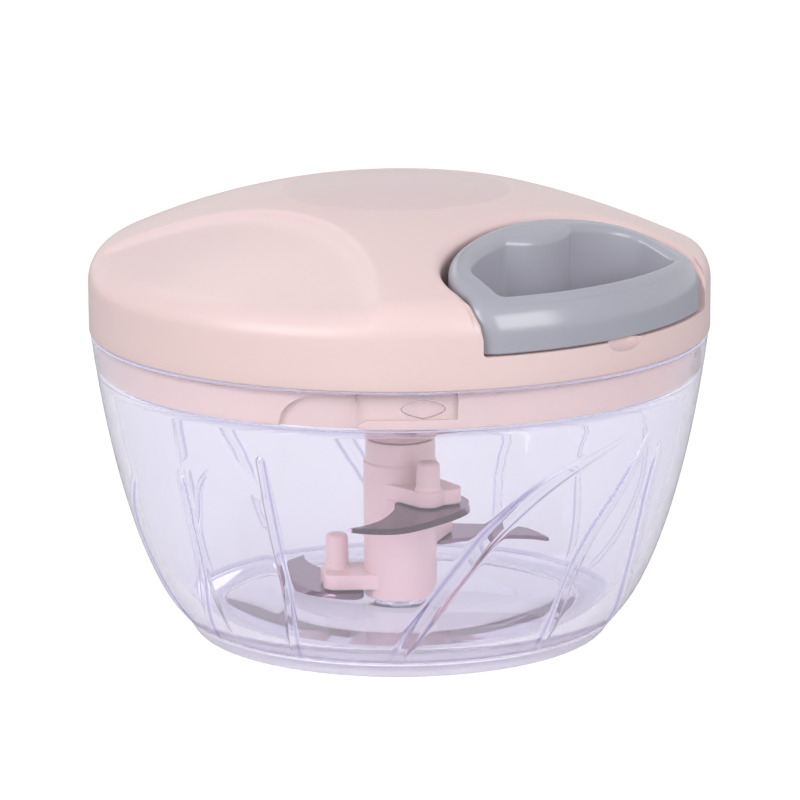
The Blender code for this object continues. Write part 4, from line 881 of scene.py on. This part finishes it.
shaftShape = millimetres(
    radius=7.45, bottomZ=6.4, neckZ=34.0, topZ=38.6, neckInset=0.4, bore=2.6, boreTopZ=15.3, spigotRadius=5.0,
    spigotTopZ=49.0, armTops=(30.8, 19.6, 11.6), armThickness=3.1, noseRadius=3.35, lobeRadius=2.9, waist=2.35,
    armRound=0.35, pegReach=13.0, pegRadius=2.45, pegTaper=0.2, pegFillet=0.4, pegTops=(36.5, 25.6, 18.6),
) | dict(armAngles=(-19.5, 100.5, 220.5), armRoot=(7.0 * mm, 59.0), lobe=(13.2 * mm, 19.0))
bladeShape = millimetres(thickness=0.8, grind=1.6, lip=0.06, gap=0.3) | dict(
    steps=72, tip=(31.0, -45.0), root=(15.4, 38.0),
    back=((28.8, -41.2), (26.4, -38.3), (23.2, -35.2), (19.0, -32.6), (13.9, -30.3), (9.0, -31.0), (8.2, -8.0),
          (8.2, 22.0), (9.6, 44.0), (12.5, 50.0)),
    edge=((31.6, -36.0), (31.0, -26.0), (28.2, -17.4), (24.2, -4.0), (20.6, 14.0), (18.0, 25.0)))


def roundedPrism(outline, low, high, size):
    # An extrusion whose top and bottom edges are rounded.
    arc = quarterArc(size, 4)
    rings = [[(p.x, p.y, low + up) for p in offsetOutline(outline, -inwards)] for up, inwards in arc]
    rings += [[(p.x, p.y, high - down) for p in offsetOutline(outline, -inwards)] for down, inwards in reversed(arc)]
    return skinRings(rings)


def armOutline():
    # Along +X: as wide as the column at its root, a nose under the peg, and a lobe beside it with a waist between.
    s = shaftShape
    nose = polar(s["pegReach"], 0.0)
    lobe = polar(*s["lobe"])
    waist = (nose + lobe) * 0.5
    waist *= (s["pegReach"] + s["waist"]) / waist.length
    points = [nose + polar(s["noseRadius"], turn) for turn in np.linspace(-84.0, 6.0, 14)]
    points.append(waist)
    points += [lobe + polar(s["lobeRadius"], turn) for turn in np.linspace(10.0, 106.0, 14)]
    radius, turn = s["armRoot"]
    points += [polar(radius, turn), polar(radius, -turn)]
    return [point.to_2d() for point in points]


def makeShaft():
    s = shaftShape
    radius, bottom, top, bore, boreTop, peg = pick(s, "radius bottomZ topZ bore boreTopZ pegRadius")
    neck = radius - s["neckInset"]
    corners = [
        (0.0, boreTop, 0.0), (bore, boreTop, 0.0), (bore, bottom, 0.2 * mm), (radius - 0.05 * mm, bottom, 0.5 * mm),
        (radius, s["neckZ"], 0.25 * mm), (neck, s["neckZ"] + 0.3 * mm, 0.2 * mm), (neck, top, 0.3 * mm),
        (0.0, top, 0.0),
    ]
    shaft = newObject("bladeShaft", turned(roundedProfile(corners, 5), 96))
    hexagon = [polar(s["spigotRadius"], 60.0 * i) for i in range(6)]
    parts = [newObject("spigot", prism(hexagon, top - mm, s["spigotTopZ"]))]
    outline = armOutline()
    slim, foot = peg - s["pegTaper"], peg + s["pegFillet"]
    for angle, top, pegTop in zip(s["armAngles"], s["armTops"], s["pegTops"]):
        arm = roundedPrism(outline, top - s["armThickness"], top, s["armRound"])
        parts.append(newObject("arm", arm, turn=angle))
        corners = [(0.0, top - mm, 0.0), (foot, top - mm, 0.0), (foot, top - 0.05 * mm, 0.0),
                   (peg, top + 0.5 * mm, 0.4 * mm), (slim, pegTop, 0.9 * mm), (0.0, pegTop, 0.0)]
        parts.append(newObject("peg", turned(roundedProfile(corners, 6), 40), polar(s["pegReach"], angle)))
    carve(shaft, parts, "UNION")
    dress(shaft, shaftPlasticShaded, "blade_unit", "blade_shaft")


def bladeSide(spots):
    spots = (bladeShape["tip"],) + spots + (bladeShape["root"],)
    line = smoothRoute([polar(radius * mm, degrees).to_2d() for radius, degrees in spots], 12)
    return evenPath(line, count=bladeShape["steps"])


def makeBlades():
    # Sickle blades: a flat strip with a ground cutting edge along the outer curve.
    s = bladeShape
    inner, outer = bladeSide(s["back"]), bladeSide(s["edge"])
    names = ("upper", "middle", "lower")
    for name, angle, top in zip(names, shaftShape["armAngles"], shaftShape["armTops"]):
        high = top - shaftShape["armThickness"] - s["gap"]
        low = high - s["thickness"]
        rings = []
        for a, b in zip(inner, outer):
            width = (b - a).length
            ground = b - (b - a) / max(width, 1e-6) * min(s["grind"], 0.45 * width)
            rings.append([(a.x, a.y, low), (a.x, a.y, high), (ground.x, ground.y, high),
                          (b.x, b.y, low + s["lip"]), (b.x, b.y, low)])
        for end in (0, -1):
            rings[end] = [(inner[end].x, inner[end].y, 0.5 * (low + high))]
        blade = newObject("steel%sBlade" % name.capitalize(), skinRings(rings), turn=angle)
        dress(blade, bladeSteelPaintedReflection, "blade_unit", name + "_blade", 20.0)


# Pull cord: the turns on the spool, the run out to the handle, and the knot in the handle's well

cordShape = millimetres(
    radius=0.75, braid=0.05, strandPitch=5.0, step=0.35, windingRadius=13.05, turnPitch=1.95, leaveGap=1.05,
    bend=2.5, eyeX=27.9, blendStart=31.0, blendEnd=33.0, knotX=36.5, knotRadius=2.1, knotGap=0.3,
) | dict(firstZ=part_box("cord_winding")[0].z + 0.75 * mm, strands=4, sides=16, turns=4.0, turnSteps=96,
         blendRings=90, knotSteps=180, knotWidth=0.62, knotSwing=0.34, knotHeight=0.56)


def cordSkin(path):
    # A tube whose strands cross over each other in two directions.
    s = cordShape
    path = [Vector(point) for point in path]
    rings = []
    along = 0.0
    side = None
    for i, point in enumerate(path):
        ahead = path[min(i + 1, len(path) - 1)] - path[max(i - 1, 0)]
        ahead.normalize()
        if side is None:
            side = ahead.orthogonal().normalized()
        side = (side - ahead * side.dot(ahead)).normalized()
        across = ahead.cross(side)
        if i:
            along += (point - path[i - 1]).length
        phase = 2.0 * pi * along / s["strandPitch"]
        ring = []
        for k in range(s["sides"]):
            turn = 2.0 * pi * k / s["sides"]
            crossing = max(sin(s["strands"] * turn + phase), sin(s["strands"] * turn - phase))
            radius = s["radius"] - s["braid"] * (1.0 - crossing) * 0.5
            ring.append(point + side * (radius * cos(turn)) + across * (radius * sin(turn)))
        rings.append(ring)
    return skinRings(rings)


def makeCord():
    s = cordShape
    start = -math.degrees(math.acos(s["windingRadius"] / recessShape["rearX"]))
    coil = []
    for i in range(int(s["turns"] * s["turnSteps"]) + 1):
        done = i / s["turnSteps"]
        z = s["firstZ"] + s["turnPitch"] * i / s["turnSteps"]
        coil.append(polar(s["windingRadius"], start - 360.0 * (s["turns"] - done), z))
    winding = newObject("cordCoil", cordSkin(evenPath(coil, s["step"])))
    dress(winding, cordNylon, "spool_unit", "cord_winding", 60.0)

    eye = Vector((s["eyeX"], 0.0, cordZ))
    away = coil[-1] + (eye - coil[-1]).normalized() * s["leaveGap"]
    into = eye + (away - eye).normalized() * s["bend"]
    onward = eye + Vector((s["bend"], 0.0, 0.0))
    stop = s["knotX"] - s["knotRadius"] - s["knotGap"]
    route = [away, into] + bezierPoints(into, eye, onward, 12) + [onward, Vector((s["blendStart"], 0.0, cordZ))]
    path = evenPath(route, s["step"])[:-1]
    path += [(float(x), 0.0, cordZ) for x in np.linspace(s["blendStart"], s["blendEnd"], s["blendRings"])]
    path += evenPath([(s["blendEnd"] + 0.1 * mm, 0.0, cordZ), (stop, 0.0, cordZ)], s["step"])
    lead = newObject("cordRun", cordSkin(path))
    lead.data.materials.append(cordNylon)
    lead.data.shade_smooth()
    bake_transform(lead)
    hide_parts("cord_lead")

    knotPath = []
    reach = s["knotRadius"] - s["radius"]
    for i in range(s["knotSteps"] + 1):
        turn = 2.0 * pi * i / s["knotSteps"]
        wide = reach * (s["knotWidth"] + s["knotSwing"] * cos(3.0 * turn))
        knotPath.append((wide * cos(2.0 * turn), wide * sin(2.0 * turn),
                         reach * s["knotHeight"] * sin(3.0 * turn)))
    knot = newObject("cordKnot", cordSkin(knotPath), (s["knotX"], 0.0, cordZ))
    knot.rotation_euler = (0.0, pi / 2, 0.0)
    dress(knot, cordNylon, "handle_unit", "cord_knot", 60.0)


def dressCadNodes():
    # Inner pieces keep their own shape and get a finish; screws, pin and axle are turned steel.
    finishes = {"drive_hub": hubPlasticShaded, "return_spring": springSteel}
    for name in ("spring_cover", "cord_eyelet", "cord_spool", "pawl_1", "pawl_2", "pawl_3"):
        finishes[name] = acetal
    for name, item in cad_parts.items():
        if not item.hide_render:
            shade(item, finishes.get(name, turnedSteel), 35.0)


# Camera, floor and light

cameraShape = dict(azimuth=45.0, elevation=13.03, distance=0.95, targetZ=0.045, roll=-0.25, sensor=36.0,
                   focalPixels=4716.7, imagePixels=800.0, centreX=399.9, centreY=405.4)
floorLook = dict(grey=0.5, roughness=0.9, specular=0.1, glow=0.78, through=0.9, mirrored=0.9)
roomLook = dict(level=(1.0, 0.99, 1.0), above=(0.48, 0.47, 0.52), aboveFrom=0.8, strength=0.74, through=0.35,
                mirrored=0.9)
# Azimuth, elevation, distance, size and watts of each lamp, which faces a point above the table
lampShape = {
    "keyLeft": (2.0, 24.0, 1.0, (0.7, 0.5), 4.6),
    "fillRight": (88.0, 22.0, 1.1, (0.6, 0.5), 4.2),
    "backLeft": (258.0, 46.0, 1.0, (0.5, 0.35), 0.6),
}
lampTargetZ = 0.05


def direction(azimuth, elevation):
    a, e = radians(azimuth), radians(elevation)
    return Vector((sin(a) * cos(e), -cos(a) * cos(e), sin(e)))


def makeCamera():
    s = cameraShape
    azimuth, roll = radians(s["azimuth"]), radians(s["roll"])
    back = direction(s["azimuth"], s["elevation"])
    right = Vector((cos(azimuth), sin(azimuth), 0.0))
    up = back.cross(right)
    right, up = right * cos(roll) + up * sin(roll), up * cos(roll) - right * sin(roll)
    data = bpy.data.cameras.new("photoCamera")
    data.sensor_width = s["sensor"]
    data.lens = s["focalPixels"] / s["imagePixels"] * s["sensor"]
    data.shift_x = (0.5 * s["imagePixels"] - s["centreX"]) / s["imagePixels"]
    data.shift_y = (s["centreY"] - 0.5 * s["imagePixels"]) / s["imagePixels"]
    data.clip_start = 0.05
    data.clip_end = 20.0
    camera = linked("photoCamera", data)
    place = Matrix((right, up, back)).transposed().to_4x4()
    place.translation = Vector((0.0, 0.0, s["targetZ"])) + back * s["distance"]
    camera.matrix_world = place
    bpy.context.scene.camera = camera


def makeFloor():
    # A white table: its own lit paper, and white added for what the camera sees, so that the shadow stays faint.
    look = floorLook
    corners = [(-3, -3, 0), (3, -3, 0), (3, 3, 0), (-3, 3, 0)]
    floor = newObject("floor", (corners, [(0, 1, 2, 3)]), (0.0, 0.0, -0.05 * mm))
    material, tree, shader = emptyMaterial("floorPaper")
    grey = look["grey"]
    setInputs(tree, shader, {"Base Color": (grey, grey, grey, 1.0), "Roughness": look["roughness"],
                             "Specular IOR Level": look["specular"]})
    seen = seenShare(tree, look["through"], look["mirrored"])
    glow = addNode(tree, "Emission", {"Strength": mathNode(tree, "MULTIPLY", seen, look["glow"])})
    both = addNode(tree, "AddShader", {0: shader.outputs["BSDF"], 1: glow.outputs["Emission"]})
    setInputs(tree, tree.nodes["Material Output"], {"Surface": both.outputs["Shader"]})
    floor.data.materials.append(material)


def makeWorld():
    # White behind the object; a softer room for what it reflects and for its light.
    look = roomLook
    world = bpy.data.worlds.new("studio")
    bpy.context.scene.world = world
    world.use_nodes = True
    tree = world.node_tree
    tree.nodes.clear()
    split = addNode(tree, "SeparateXYZ", {"Vector": addNode(tree, "TexCoord").outputs["Generated"]})
    colour = rampNode(tree, split.outputs["Z"], look["level"], look["above"], 0.0, look["aboveFrom"])
    room = addNode(tree, "Background", {"Strength": look["strength"], "Color": colour})
    white = addNode(tree, "Background", {"Color": (1.0, 1.0, 1.0, 1.0), "Strength": 1.0})
    seen = seenShare(tree, look["through"], look["mirrored"])
    mix = addNode(tree, "MixShader", {"Fac": seen, 1: room.outputs["Background"], 2: white.outputs["Background"]})
    addNode(tree, "OutputWorld", {"Surface": mix.outputs["Shader"]})


def makeLamps():
    for name, (azimuth, elevation, distance, size, watts) in lampShape.items():
        data = bpy.data.lights.new(name, "AREA")
        data.shape = "RECTANGLE"
        data.size, data.size_y = size
        data.energy = watts
        lamp = linked(name, data)
        way = direction(azimuth, elevation)
        lamp.location = Vector((0.0, 0.0, lampTargetZ)) + way * distance
        lamp.rotation_euler = way.to_track_quat("Z", "Y").to_euler()


for stage in (makeCamera, makeFloor, makeWorld, makeLamps, makeLid, makeHandle, makeLidBase, makeBowl, makeFootRing,
              makeShaft, makeBlades, makeCord, dressCadNodes):
    stage()
    print(stage.__name__, "done")
bpy.context.scene.view_settings.view_transform = "Standard"
